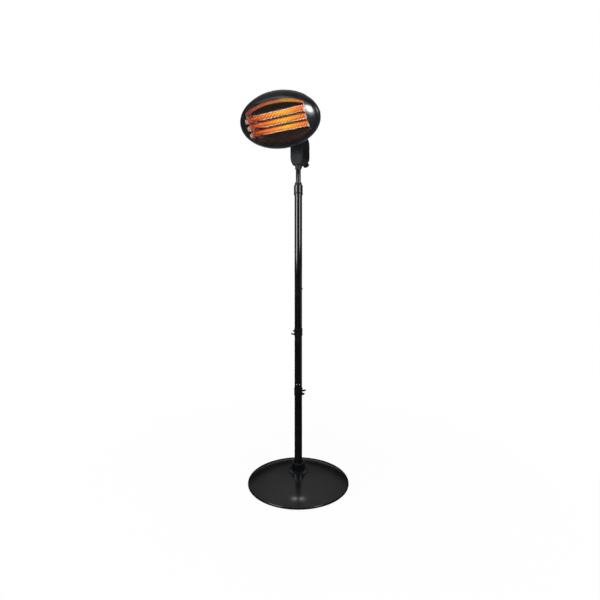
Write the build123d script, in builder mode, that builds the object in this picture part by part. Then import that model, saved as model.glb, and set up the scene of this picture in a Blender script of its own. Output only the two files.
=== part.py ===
"""Free-standing infrared patio heater: a weighted round base, a three-piece pole with a
telescopic mast, a switch box and an oval tilting head with three quartz tubes.

Millimetres. The pole stands on +Z, the floor is z = 0 and the head faces -Y.
"""

import os
from math import cos, radians, sin, sqrt, tan

from build123d import *

os.makedirs("parts", exist_ok=True)

# ---------------------------------------------------------------- clearances
SLIP = 0.1  # sliding fit on the radius, tube in tube or shaft in hole
FREE = 0.3  # gap between curved faces that turn or slide past each other
SNUG = 0.2  # gap between curved faces that stay put

# ---------------------------------------------------------------- base
BASE_R = 250.0  # half the base's width
BASE_H = 60.0  # floor to crown
BASE_SKIN = 1.5  # pressed steel
RIM_GAP = 5.0  # floor to the cover's edge
SHOULDER_Z = 12.0  # where the dome meets the upright rim
SHOULDER_FILLET = 6.0
CROWN_R = 52.0  # flat top of the dome
FOOT_H = 6.0
FOOT_R = 12.0
FOOT_COUNT = 6
FOOT_RING_R = 205.0
FOOT_STEM_R = 4.0
FOOT_STEM_H = 4.0
WEIGHT_R = 228.0
WEIGHT_T = 6.0
PILLAR_FOOT_R = 52.0
PILLAR_TOP_R = 38.0
RIB_T = 8.0
RIB_COUNT = 6
RIB_REACH = 150.0
FLANGE_R = 49.0
FLANGE_T = 6.0
FLANGE_EDGE_T = 2.5
SOCKET_R = 33.0
SOCKET_TOP_R = 31.8
SOCKET_H = 38.0
SOCKET_WELL_R = 24.0  # recess round the pole in the socket's top face
SOCKET_WELL_DEPTH = 6.0
FOOT_BOLT_R = 6.0
BOLT_HEAD_ACROSS = 19.0
BOLT_HEAD_H = 7.5
WASHER_R = 15.0
WASHER_T = 2.5
BOLT_WELL_R = 18.0
BOLT_WELL_DEPTH = 18.0
PLUG_H = 32.0

# ---------------------------------------------------------------- pole
POLE_R = 19.0
POLE_WALL = 1.5
JOINT_LOW_Z = 495.0
JOINT_HIGH_Z = 940.0
SPIGOT_LEN = 50.0
SWAGE_LEN = 4.0
POLE_TOP_Z = 1455.0
SCREW_RISE_LOW = 15.0  # screw above its joint
SCREW_RISE_HIGH = 28.0
SCREW_TURN_LOW = -90.0  # degrees round the pole from +X
SCREW_TURN_HIGH = 31.0
SCREW_HEAD_R = 4.5
SCREW_HEAD_H = 2.6
SCREW_R = 2.2
SCREW_LEN = 5.0

# ---------------------------------------------------------------- cable clips
CLIP_LOW_Z = 455.0
CLIP_HIGH_Z = 752.0
CLIP_LOW_TURN = 0.0
CLIP_HIGH_TURN = -105.0
CLIP_H = 34.0
CLIP_T = 1.6
CLIP_RIM_H = 4.0
CLIP_RIM_PROUD = 0.5
CLIP_SPLIT = 6.0
FINGER_GAP = 15.5  # between the two fingers, centre to centre
FINGER_H = 6.5
FINGER_REACH = 35.0
FINGER_T = 4.0
FINGER_ARM = 8.0
FINGER_HOOK = 12.0

# ---------------------------------------------------------------- lock collar
COLLAR_Z = 1437.0
COLLAR_H = 61.0
COLLAR_R = 22.0
COLLAR_FLARE = 0.7
COLLAR_FLARE_H = 5.0
COLLAR_NECK_R = 17.2
COLLAR_SHOULDER_H = 46.0
COLLAR_STEP_H = 5.0
SEAT_DEPTH = 30.0
SEAT_FLANGE_T = 3.0
SEAT_THREAD_H = 20.0
SEAT_THREAD_R = 17.6
COLLET_BOTTOM_R = 14.0
COLLET_TOP_R = 15.6
COLLET_H = 20.0
COLLET_SLOTS = 6
COLLET_SLOT_W = 1.6

# ---------------------------------------------------------------- mast
MAST_R = 12.5
MAST_WALL = 1.2
MAST_BOTTOM_Z = 1100.0
MAST_TOP_Z = 1609.0
BUSH_H = 30.0
BUSH_LIP = 2.0

# ---------------------------------------------------------------- switch box
BOX_W = 72.0
BOX_FRONT = -20.0  # y of the front face
BOX_BACK = 50.0
BOX_BOTTOM_Z = 1583.0
BOX_TOP_Z = 1728.0
BOX_SIDE_Z = 1630.0  # the sides are upright above this
BOX_TOE_W = 40.0  # width of the bottom face
BOX_TOP_CORNER = 12.0
BOX_CROWN_R = 40.0  # rounding of the top's rear edge
BOX_WALL = 2.5
BOX_SLOPE_Y = 22.0  # the bottom rises towards the rear from here
LID_DEPTH = 8.0
LID_EDGE = 2.5
LID_SCREW_Z = (1646.0, 1704.0)
LID_SCREW_R = 2.0
LID_SCREW_HEAD_R = 3.6
LID_SCREW_HEAD_H = 2.4
LID_SCREW_WELL_R = 4.4
LID_SCREW_WELL = 3.5
LID_BOSS_R = 5.0
LID_SCREW_LEN = 16.0
NECK_R = 16.5
NECK_BOTTOM_Z = 1566.0
NECK_TAIL_R = 14.6
NECK_CAP = 3.0
NECK_NUT_R = 17.0
NECK_NUT_H = 7.0
NECK_SCREW_Z = 1574.5
NECK_BOSS_R = 7.4
NECK_BOSS_REACH = 20.0
NECK_SCREW_R = 2.5
NECK_SCREW_HEAD_R = 4.6
NECK_SCREW_HEAD_H = 2.8
NECK_SCREW_TIP = 11.0
NECK_NUT_NOTCHES = 4
NECK_NUT_NOTCH = 3.0

# ---------------------------------------------------------------- controls on the sloped face
KNOB_X = 18.0
KNOB_ALONG = 23.0  # distance up the slope from its lower edge
KNOB_R = 15.0
KNOB_H = 19.0
KNOB_GAP = 0.6
KNOB_DOME = 6.0
SPINDLE_R = 3.0
SPINDLE_GRIP = 11.0  # length inside the knob
SWITCH_R = 7.5
SWITCH_DEPTH = 18.0
SPINDLE_SEAT = 5.0
GLAND_X = -16.0
GLAND_ALONG = 22.0
GLAND_BORE_R = 4.0
GLAND_TAIL_R = 6.0
GLAND_TAIL_LEN = 10.0
GLAND_HEX_ACROSS = 18.0
GLAND_HEX_H = 4.0
GLAND_STUB_R = 7.0
GLAND_STUB_H = 8.0
GLAND_CAP_R = 9.3
GLAND_CAP_H = 14.0
GLAND_CAP_DOME = 3.0
GLAND_NUT_R = 9.0
GLAND_NUT_H = 3.0
TERMINAL_SIZE = (34.0, 13.0, 18.0)
TERMINAL_Z = 1665.0
TERMINAL_PITCH = 9.0
TERMINAL_HOLE_R = 2.0
TIP_SWITCH_SIZE = (30.0, 16.0, 20.0)
TIP_SWITCH_Z = 1688.0
PAD_T = 3.0

# ---------------------------------------------------------------- tilt joint
PIVOT_Y = -38.0
PIVOT_Z = 1750.0
PIVOT_BOLT_R = 4.0
KNUCKLE_W = 16.0
KNUCKLE_EYE_R = 13.0
KNUCKLE_BASE = (38.0, 19.0, 4.0)
KNUCKLE_SCREW_X = 14.0
KNUCKLE_SCREW_R = 2.5
KNUCKLE_SCREW_HEAD_R = 4.4
KNUCKLE_SCREW_HEAD_H = 3.0
KNUCKLE_NUT_H = 4.0
FRICTION_WASHER_R = 11.0
FRICTION_WASHER_T = 1.5
TILT_PLAY = 0.1  # each side of the knuckle
EAR_T = 3.0
PIVOT_HEAD_R = 7.0
PIVOT_HEAD_H = 5.3
PIVOT_NUT_H = 8.0

# ---------------------------------------------------------------- head
HEAD_Y = -178.5
HEAD_Z = 1754.0
HEAD_TILT = 34.7  # degrees below level
HEAD_A = 216.0  # half width of the oval
HEAD_B = 130.0  # half height
DOME_H = 45.0  # how far the oval dome would rise without its opening
BEZEL_T = 2.5
BAND_DEPTH = 9.0
OPENING_A = 206.0  # the opening is an ellipse ...
OPENING_B = 101.0
OPENING_W = 330.0  # ... cut off by straight sides
OPENING_V = 2.5  # its centre lies a little above the head's
OPENING_CORNER = 6.0
LIP_T = 2.5
LIP_BACK = 15.6
SHELL_DEPTH = 80.0
SHELL_T = 2.0
RIM_SCREW_ANGLES = (0, 180, -60, -120)
RIM_SCREW_R = 2.0
RIM_SCREW_HEAD_R = 3.8
RIM_SCREW_HEAD_H = 2.0
HOOD_LIFT = 3.5  # the hoods' oval is this much larger than the bezel's
HOOD_DEPTH = 58.0
HOOD_FRONT = -11.0
HOOD_EDGE = 168.0
HOOD_SPLIT = 82.0
HOOD_GAP = 6.0
HOOD_SLOT = (16.0, 6.0)
HOOD_SLOT_N = -19.0
HOOD_SLOT_PITCH = 25.0
HOOD_SLOTS = 3
VENT_ROWS = (30.0, 44.0, 58.0, 72.0)
VENT_H = 5.0
VENT_INNER = 14.0
VENT_LENGTH = 84.0
PAD_V = -30.0
PAD_SIZE = (66.0, 50.0)
PAD_BACK = -79.5
PAD_FRONT = -70.0

# ---------------------------------------------------------------- grille
WIRE_R = 1.0
WIRE_PITCH = 8.0
CROSS_WIRE_R = 1.25
CROSS_WIRE_V = (-60.0, -21.0, 13.0, 54.0)  # between the tube rows and outside them
FRAME_W = 6.0
FRAME_T = 2.6
GRILLE_BACK = 12.8
WELD_DEPTH = 0.2  # how far the wires sink into each other

# ---------------------------------------------------------------- reflector and tubes
SHEET_T = 1.0
TUBE_V = (30.0, -4.0, -38.0)
TUBE_N = -20.0
TUBE_R = 5.5
TUBE_BORE_R = 4.2
TUBE_END = 158.0  # half length
BAY_R = 16.4
BAY_N = -15.0
LIP_W = 4.0  # flat lip above and below the bays
PLATE_N = 10.4  # front edge of the end plates between the tube rows
TAB_N = 24.0  # front edge of the tab that stands before each tube's end
TAB_W = 22.0
TAB_CORNER = 2.0
TAB_FLANGE = 4.5
PAN_TOP_N = 12.4
PAN_TOP_A = 202.0
PAN_TOP_B = 110.0
PAN_FLOOR_N = -16.0
PAN_FLOOR_A = 186.0
PAN_FLOOR_B = 87.0
COIL_R = 2.6
CAP_R = 9.0
CAP_INNER = 154.0
CAP_OUTER = 174.0
PIN_R = 2.0
PIN_OUTER = 184.0
CHASSIS_W = 150.0
CHASSIS_H = 90.0
CHASSIS_V = -4.0
CHASSIS_T = 1.5
CHASSIS_LEG_U = 31.0
CHASSIS_FOOT_W = 14.0
CUTOUT_R = 8.0
CUTOUT_H = 10.0
CUTOUT_U = 58.0
CUTOUT_V = 8.0
BRACKET_BOLT_R = 2.5
BRACKET_BOLT_U = 23.0
BRACKET_BOLT_V = 14.0
BRACKET_HEAD_R = 4.4
BRACKET_HEAD_H = 3.5
BRACKET_NUT_ACROSS = 8.0
BRACKET_NUT_H = 4.0

head_plane = Plane(
    origin=(0, HEAD_Y, HEAD_Z),
    x_dir=(1, 0, 0),
    z_dir=(0, -cos(radians(HEAD_TILT)), -sin(radians(HEAD_TILT))),
)


def save(piece, name):
    """Label a finished piece and write it."""
    piece.part.label = name
    export_step(piece.part, f"parts/{name}.step")


def keep_one(solid):
    """Make a piece of its own from one solid."""
    with BuildPart() as piece:
        add(solid)
    return piece


def radial_plane(turn, height, reach=0.0):
    """A plane that faces out from the pole's axis at an angle and a height."""
    out = Vector(cos(radians(turn)), sin(radians(turn)), 0)
    return Plane(origin=out * reach + Vector(0, 0, height), x_dir=(0, 0, 1), z_dir=out)


def plain_tube(radius, bore, low, high, screw, hole_r):
    """A straight tube on the pole's axis with one screw hole in its wall."""
    with BuildPart() as tube:
        with BuildSketch(Plane.XY.offset(low)):
            Circle(radius)
            Circle(bore, mode=Mode.SUBTRACT)
        extrude(amount=high - low)
        with BuildSketch(radial_plane(*screw)):
            Circle(hole_r)
        extrude(amount=radius + 1, mode=Mode.SUBTRACT)
    return tube


def half_ellipsoid(a, b, c, front):
    """Solid half of an ellipsoid on the head's centre, before or behind the rim plane."""
    ball = head_plane * scale(Solid.make_sphere(1, angle1=-90, angle2=90), by=(a, b, c))
    side = Keep.TOP if front else Keep.BOTTOM
    return split(ball, bisect_by=head_plane, keep=side, mode=Mode.PRIVATE)


# ================================================================ base
with BuildPart() as base_cover:
    with BuildSketch(Plane.XZ):
        with BuildLine():
            crown = Line((0, BASE_H), (CROWN_R, BASE_H))
            dome = TangentArc(crown @ 1, (BASE_R, SHOULDER_Z), tangent=crown % 1)
            rim = Line(dome @ 1, (BASE_R, RIM_GAP))
            Polyline(rim @ 1, (0, RIM_GAP), crown @ 0)
        make_face()
    revolve(axis=Axis.Z)
    shoulder = base_cover.edges().filter_by(GeomType.CIRCLE).filter_by_position(
        Axis.Z, SHOULDER_Z - 0.5, SHOULDER_Z + 0.5
    )
    fillet(shoulder, SHOULDER_FILLET)
    floor_face = base_cover.faces().sort_by(Axis.Z)[0]
    offset(amount=-BASE_SKIN, openings=floor_face)
    with Locations((0, 0, BASE_H)):
        Hole(FOOT_BOLT_R + SNUG)
save(base_cover, "base_cover")

weight_top = FOOT_H + WEIGHT_T
crown_under = BASE_H - BASE_SKIN
with BuildPart() as base_weight:
    with BuildSketch(Plane.XY.offset(FOOT_H)):
        Circle(WEIGHT_R)
    extrude(amount=WEIGHT_T)
    with BuildSketch(Plane.XZ):
        with BuildLine():
            Polyline(
                (0, FOOT_H),
                (PILLAR_FOOT_R, FOOT_H),
                (PILLAR_FOOT_R, weight_top),
                (PILLAR_TOP_R, crown_under),
                (0, crown_under),
                close=True,
            )
        make_face()
    revolve(axis=Axis.Z)
    for number in range(RIB_COUNT):
        rib_plane = Plane.XZ.rotated((0, 0, 30 + number * 360 / RIB_COUNT))
        with BuildSketch(rib_plane):
            with BuildLine():
                Polyline(
                    (PILLAR_TOP_R / 2, weight_top - 1),
                    (RIB_REACH, weight_top - 1),
                    (RIB_REACH, weight_top),
                    (PILLAR_TOP_R / 2, crown_under - 8),
                    close=True,
                )
            make_face()
        extrude(amount=RIB_T / 2, both=True)
    with BuildSketch(Plane.XY.offset(FOOT_H)):
        Circle(BOLT_WELL_R)
    extrude(amount=BOLT_WELL_DEPTH, mode=Mode.SUBTRACT)
    with BuildSketch(Plane.XY.offset(FOOT_H)):
        Circle(FOOT_BOLT_R + SNUG)
    extrude(amount=BASE_H, mode=Mode.SUBTRACT)
    with BuildSketch(Plane.XY.offset(FOOT_H)):
        with PolarLocations(FOOT_RING_R, FOOT_COUNT, start_angle=30):
            Circle(FOOT_STEM_R + SNUG)
    extrude(amount=FOOT_STEM_H + SNUG, mode=Mode.SUBTRACT)
save(base_weight, "base_weight")

with BuildPart() as base_feet:
    with BuildSketch():
        with PolarLocations(FOOT_RING_R, FOOT_COUNT, start_angle=30):
            Circle(FOOT_R)
    extrude(amount=FOOT_H)
    with BuildSketch(Plane.XY.offset(FOOT_H)):
        with PolarLocations(FOOT_RING_R, FOOT_COUNT, start_angle=30):
            Circle(FOOT_STEM_R)
    extrude(amount=FOOT_STEM_H)
save(base_feet, "base_feet")

flange_top = BASE_H + FLANGE_T
with BuildPart() as pole_flange:
    with BuildSketch(Plane.XZ):
        with BuildLine():
            Polyline(
                (FOOT_BOLT_R + SNUG, BASE_H),
                (FLANGE_R, BASE_H),
                (FLANGE_R, BASE_H + FLANGE_EDGE_T),
                (SOCKET_R + 2, flange_top),
                (FOOT_BOLT_R + SNUG, flange_top),
                close=True,
            )
        make_face()
    revolve(axis=Axis.Z)
    flange_edge = pole_flange.edges().filter_by(GeomType.CIRCLE).group_by(SortBy.LENGTH)[-1]
    fillet(flange_edge, FLANGE_EDGE_T * 0.4)
save(pole_flange, "pole_flange")

socket_top = flange_top + SOCKET_H
with BuildPart() as pole_socket:
    with BuildSketch(Plane.XZ):
        with BuildLine():
            Polyline(
                (POLE_R + SNUG, flange_top),
                (SOCKET_R, flange_top),
                (SOCKET_TOP_R, socket_top),
                (SOCKET_WELL_R, socket_top),
                (SOCKET_WELL_R, socket_top - SOCKET_WELL_DEPTH),
                (POLE_R + SNUG, socket_top - SOCKET_WELL_DEPTH),
                close=True,
            )
        make_face()
    revolve(axis=Axis.Z)
    outer_edge = pole_socket.edges().filter_by(GeomType.CIRCLE).group_by(Axis.Z)[-1]
    chamfer(outer_edge.sort_by(SortBy.LENGTH)[-1], 1.5)
save(pole_socket, "pole_socket")

with BuildPart() as foot_plug:
    with BuildSketch(Plane.XY.offset(flange_top)):
        Circle(POLE_R - POLE_WALL)
        Circle(FOOT_BOLT_R, mode=Mode.SUBTRACT)
    extrude(amount=PLUG_H)
save(foot_plug, "foot_plug")

well_top = FOOT_H + BOLT_WELL_DEPTH
with BuildPart() as foot_washer:
    with BuildSketch(Plane.XY.offset(well_top - WASHER_T)):
        Circle(WASHER_R)
        Circle(FOOT_BOLT_R + SNUG, mode=Mode.SUBTRACT)
    extrude(amount=WASHER_T)
save(foot_washer, "foot_washer")

with BuildPart() as foot_bolt:
    with BuildSketch(Plane.XY.offset(well_top - WASHER_T - BOLT_HEAD_H)):
        RegularPolygon(BOLT_HEAD_ACROSS / 2, 6, major_radius=False)
    extrude(amount=BOLT_HEAD_H)
    with BuildSketch(Plane.XY.offset(well_top - WASHER_T)):
        Circle(FOOT_BOLT_R)
    extrude(amount=flange_top + PLUG_H - 4 - (well_top - WASHER_T))
save(foot_bolt, "foot_bolt")

# ================================================================ pole
pole_bore = POLE_R - POLE_WALL
spigot_r = pole_bore - SLIP


def pole_section(low, joint, screw_holes):
    """A tube whose upper end is swaged down into the spigot of the next section."""
    with BuildPart() as section:
        with BuildSketch(Plane.XZ):
            with BuildLine():
                Polyline(
                    (pole_bore, low),
                    (POLE_R, low),
                    (POLE_R, joint - SWAGE_LEN),
                    (spigot_r, joint),
                    (spigot_r, joint + SPIGOT_LEN),
                    (spigot_r - POLE_WALL, joint + SPIGOT_LEN),
                    (spigot_r - POLE_WALL, joint),
                    (pole_bore, joint - SWAGE_LEN),
                    close=True,
                )
            make_face()
        revolve(axis=Axis.Z)
        for turn, height in screw_holes:
            with BuildSketch(radial_plane(turn, height)):
                Circle(SCREW_R + SNUG)
            extrude(amount=POLE_R + 1, mode=Mode.SUBTRACT)
    return section


low_screw = (SCREW_TURN_LOW, JOINT_LOW_Z + SCREW_RISE_LOW)
high_screw = (SCREW_TURN_HIGH, JOINT_HIGH_Z + SCREW_RISE_HIGH)

lower_tube = pole_section(flange_top, JOINT_LOW_Z, [low_screw])
save(lower_tube, "lower_tube")

middle_tube = pole_section(JOINT_LOW_Z, JOINT_HIGH_Z, [low_screw, high_screw])
save(middle_tube, "middle_tube")

upper_tube = plain_tube(
    POLE_R, pole_bore, JOINT_HIGH_Z, POLE_TOP_Z, high_screw, SCREW_R + SNUG
)
save(upper_tube, "upper_tube")

with BuildPart() as joint_screws:
    for turn, height in (low_screw, high_screw):
        with BuildSketch(radial_plane(turn, height, POLE_R)):
            Circle(SCREW_HEAD_R)
        extrude(amount=SCREW_HEAD_H, taper=12)
        with BuildSketch(radial_plane(turn, height, POLE_R - SCREW_LEN)):
            Circle(SCREW_R)
        extrude(amount=SCREW_LEN)
save(joint_screws, "joint_screws")

# ================================================================ cable clips
clip_bore = POLE_R + SNUG
clip_r = clip_bore + CLIP_T


def cable_clip(height, turn):
    """A split snap-on ring with two fingers, hooked to opposite sides."""
    base = Plane.XY.rotated((0, 0, turn))
    with BuildPart() as clip:
        with BuildSketch(base.offset(height - CLIP_H / 2)):
            Circle(clip_r)
        extrude(amount=CLIP_H)
        for rim_low in (height - CLIP_H / 2, height + CLIP_H / 2 - CLIP_RIM_H):
            with BuildSketch(base.offset(rim_low)):
                Circle(clip_r + CLIP_RIM_PROUD)
            extrude(amount=CLIP_RIM_H)
        for side in (1, -1):
            finger_low = height + side * FINGER_GAP / 2 - FINGER_H / 2
            with BuildSketch(base.offset(finger_low)) as finger:
                with Locations((FINGER_REACH / 2, 0)):
                    Rectangle(FINGER_REACH, FINGER_ARM)
                with Locations((FINGER_REACH - FINGER_T / 2, side * FINGER_HOOK / 2)):
                    Rectangle(FINGER_T, FINGER_ARM + FINGER_HOOK)
                fillet(finger.vertices().group_by(Axis.X)[-1], FINGER_T * 0.45)
            extrude(amount=FINGER_H)
        with BuildSketch(base.offset(height - CLIP_H)):
            Circle(clip_bore)
            with Locations((-clip_r, 0)):
                Rectangle(2 * clip_r, CLIP_SPLIT)
        extrude(amount=2 * CLIP_H, mode=Mode.SUBTRACT)
    return clip


lower_cable_clip = cable_clip(CLIP_LOW_Z, CLIP_LOW_TURN)
save(lower_cable_clip, "lower_cable_clip")
upper_cable_clip = cable_clip(CLIP_HIGH_Z, CLIP_HIGH_TURN)
save(upper_cable_clip, "upper_cable_clip")

# ================================================================ lock collar
mast_hole = MAST_R + SLIP
seat_low = POLE_TOP_Z - SEAT_DEPTH
flange_z = POLE_TOP_Z + SEAT_FLANGE_T
thread_top = flange_z + SEAT_THREAD_H
collet_low = flange_z + 1.0
collet_slope = (COLLET_TOP_R - COLLET_BOTTOM_R) / COLLET_H


def collet_radius(height):
    """Outside radius of the tapered collet at a height."""
    return COLLET_BOTTOM_R + collet_slope * (height - collet_low)


with BuildPart() as collar_seat:
    with BuildSketch(Plane.XZ):
        with BuildLine():
            Polyline(
                (mast_hole, seat_low),
                (pole_bore - SLIP, seat_low),
                (pole_bore - SLIP, POLE_TOP_Z),
                (POLE_R, POLE_TOP_Z),
                (POLE_R, flange_z),
                (SEAT_THREAD_R, flange_z),
                (SEAT_THREAD_R, thread_top),
                (collet_radius(thread_top) + SNUG, thread_top),
                (collet_radius(collet_low) + SNUG, collet_low),
                (mast_hole, collet_low),
                close=True,
            )
        make_face()
    revolve(axis=Axis.Z)
save(collar_seat, "collar_seat")

with BuildPart() as grip_collet:
    with BuildSketch(Plane.XZ):
        with BuildLine():
            Polyline(
                (mast_hole, collet_low),
                (COLLET_BOTTOM_R, collet_low),
                (COLLET_TOP_R, collet_low + COLLET_H),
                (mast_hole, collet_low + COLLET_H),
                close=True,
            )
        make_face()
    revolve(axis=Axis.Z)
    with BuildSketch(Plane.XY.offset(collet_low + COLLET_H / 4)):
        with PolarLocations(MAST_R + 1.5, COLLET_SLOTS):
            Rectangle(8, COLLET_SLOT_W)
    extrude(amount=COLLET_H, mode=Mode.SUBTRACT)
save(grip_collet, "grip_collet")

collar_top = COLLAR_Z + COLLAR_H
collar_shoulder = COLLAR_Z + COLLAR_SHOULDER_H
with BuildPart() as lock_collar:
    with BuildSketch(Plane.XZ):
        with BuildLine():
            Polyline(
                (POLE_R + FREE, COLLAR_Z),
                (COLLAR_R + COLLAR_FLARE, COLLAR_Z),
                (COLLAR_R + COLLAR_FLARE, COLLAR_Z + COLLAR_FLARE_H),
                (COLLAR_R, COLLAR_Z + 2 * COLLAR_FLARE_H),
                (COLLAR_R, collar_shoulder),
                (COLLAR_NECK_R + 1.2, collar_shoulder + COLLAR_STEP_H),
                (COLLAR_NECK_R, collar_shoulder + 2 * COLLAR_STEP_H),
                (COLLAR_NECK_R, collar_top),
                (MAST_R + FREE, collar_top),
                (MAST_R + FREE, collet_low + COLLET_H + FREE),
                (SEAT_THREAD_R + FREE, collet_low + COLLET_H + FREE),
                (SEAT_THREAD_R + FREE, flange_z + FREE),
                (POLE_R + FREE, flange_z + FREE),
                close=True,
            )
        make_face()
    revolve(axis=Axis.Z)
save(lock_collar, "lock_collar")

# ================================================================ mast
neck_screw_at = (-90, NECK_SCREW_Z)
neck_hole_r = NECK_SCREW_R + SNUG
inner_tube = plain_tube(
    MAST_R, MAST_R - MAST_WALL, MAST_BOTTOM_Z, MAST_TOP_Z, neck_screw_at, neck_hole_r
)
save(inner_tube, "inner_tube")

with BuildPart() as guide_bush:
    with BuildSketch(Plane.XZ):
        with BuildLine():
            Polyline(
                (MAST_R + SLIP, MAST_BOTTOM_Z),
                (MAST_R + SLIP, MAST_BOTTOM_Z + BUSH_H),
                (pole_bore - SLIP, MAST_BOTTOM_Z + BUSH_H),
                (pole_bore - SLIP, MAST_BOTTOM_Z - BUSH_LIP),
                (MAST_R - MAST_WALL, MAST_BOTTOM_Z - BUSH_LIP),
                (MAST_R - MAST_WALL, MAST_BOTTOM_Z),
                close=True,
            )
        make_face()
    revolve(axis=Axis.Z)
save(guide_bush, "guide_bush")

# ================================================================ switch box
box_half = BOX_W / 2
toe_half = BOX_TOE_W / 2
slope_rise = BOX_BACK - BOX_SLOPE_Y


def box_body(inset):
    """The box's outer or inner form, as the overlap of its front view and its side view."""
    half, toe = box_half - inset, toe_half - inset
    low, high = BOX_BOTTOM_Z + inset, BOX_TOP_Z - inset
    back, crown_r = BOX_BACK - inset, BOX_CROWN_R - inset
    heel = inset * tan(radians(22.5))
    with BuildPart() as body:
        # Front view: upright sides that curve in to a narrow toe.
        with BuildSketch(Plane.XZ.offset(-BOX_BACK)) as front_view:
            with BuildLine():
                left = Line((-half, high), (-half, BOX_SIDE_Z))
                left_curve = TangentArc(left @ 1, (-toe, low), tangent=left % 1)
                bottom = Line(left_curve @ 1, (toe, low))
                right_curve = TangentArc((half, BOX_SIDE_Z), bottom @ 1, tangent=(0, -1))
                right = Line(right_curve @ 0, (half, high))
                Line(right @ 1, left @ 0)
            make_face()
            fillet(front_view.vertices().group_by(Axis.Y)[-1], BOX_TOP_CORNER - inset)
        extrude(amount=BOX_BACK - BOX_FRONT)
        # Side view: a rounded crown and a sloped heel to the rear.
        with BuildSketch(Plane.YZ.offset(-BOX_W)):
            with BuildLine():
                front = Line((BOX_FRONT - 1, low), (BOX_FRONT - 1, high))
                top = Line(front @ 1, (back - crown_r, high))
                crown_arc = TangentArc(top @ 1, (back, high - crown_r), tangent=top % 1)
                rear = Line(crown_arc @ 1, (back, BOX_BOTTOM_Z + slope_rise + heel))
                heel_line = Line(rear @ 1, (BOX_SLOPE_Y - heel, low))
                Line(heel_line @ 1, front @ 0)
            make_face()
        extrude(amount=2 * BOX_W, mode=Mode.INTERSECT)
    return body


slope_out = Vector(0, 1, -1).normalized()
slope_up = Vector(0, 1, 1).normalized()
slope_start = Vector(0, BOX_SLOPE_Y, BOX_BOTTOM_Z)


def slope_plane(across, along, out=0.0):
    """A plane on the box's sloped face, facing down and back."""
    spot = slope_start + slope_up * along + slope_out * out + Vector(across, 0, 0)
    return Plane(origin=spot, x_dir=(1, 0, 0), z_dir=slope_out)


lid_back = BOX_FRONT + LID_DEPTH
knuckle_y = lid_back + 1 + KNUCKLE_BASE[1] / 2
knuckle_screw_at = [(side * KNUCKLE_SCREW_X, knuckle_y) for side in (-1, 1)]
neck_hole = NECK_TAIL_R + SNUG
lid_screw_at = [(0, height) for height in LID_SCREW_Z]
box_outer = box_body(0)
box_inner = box_body(BOX_WALL)

mount_y = BOX_BACK - BOX_WALL - PAD_T

# Screw bosses and mounting pads that stand on the box's rear wall.
with BuildPart() as box_mounts:
    with BuildSketch(Plane.XZ.offset(-lid_back)):
        with Locations(*lid_screw_at):
            Circle(LID_BOSS_R)
    extrude(amount=-(BOX_BACK - lid_back))
    with BuildSketch(Plane.XZ.offset(-mount_y)):
        for size, height in ((TERMINAL_SIZE, TERMINAL_Z), (TIP_SWITCH_SIZE, TIP_SWITCH_Z)):
            with Locations((0, height)):
                Rectangle(size[0] - 6, size[2] - 6)
    extrude(amount=-(BOX_BACK - mount_y))
    add(box_outer.part, mode=Mode.INTERSECT)

with BuildPart() as control_box:
    add(box_outer.part)
    add(box_inner.part, mode=Mode.SUBTRACT)
    add(box_mounts.part)
    with BuildSketch(Plane.XZ.offset(-lid_back)):
        Rectangle(4 * BOX_W, 4 * BOX_TOP_Z)
    extrude(amount=2 * LID_DEPTH, mode=Mode.SUBTRACT)
    with BuildSketch(Plane.XZ.offset(-lid_back)):
        with Locations(*lid_screw_at):
            Circle(LID_SCREW_R)
    extrude(amount=-LID_SCREW_LEN, mode=Mode.SUBTRACT)
    with BuildSketch(Plane.XY.offset(BOX_BOTTOM_Z - 1)):
        Circle(neck_hole)
    extrude(amount=BOX_WALL + 2, mode=Mode.SUBTRACT)
    with BuildSketch(Plane.XY.offset(BOX_TOP_Z - 2 * BOX_WALL)):
        with Locations(*knuckle_screw_at):
            Circle(KNUCKLE_SCREW_R + SNUG)
    extrude(amount=3 * BOX_WALL, mode=Mode.SUBTRACT)
    with BuildSketch(slope_plane(KNOB_X, KNOB_ALONG, 1)):
        Circle(SPINDLE_R + FREE)
    extrude(amount=-(BOX_WALL + 2), mode=Mode.SUBTRACT)
    with BuildSketch(slope_plane(GLAND_X, GLAND_ALONG, 1)):
        Circle(GLAND_TAIL_R + SNUG)
    extrude(amount=-(BOX_WALL + 2), mode=Mode.SUBTRACT)
save(control_box, "control_box")

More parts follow.
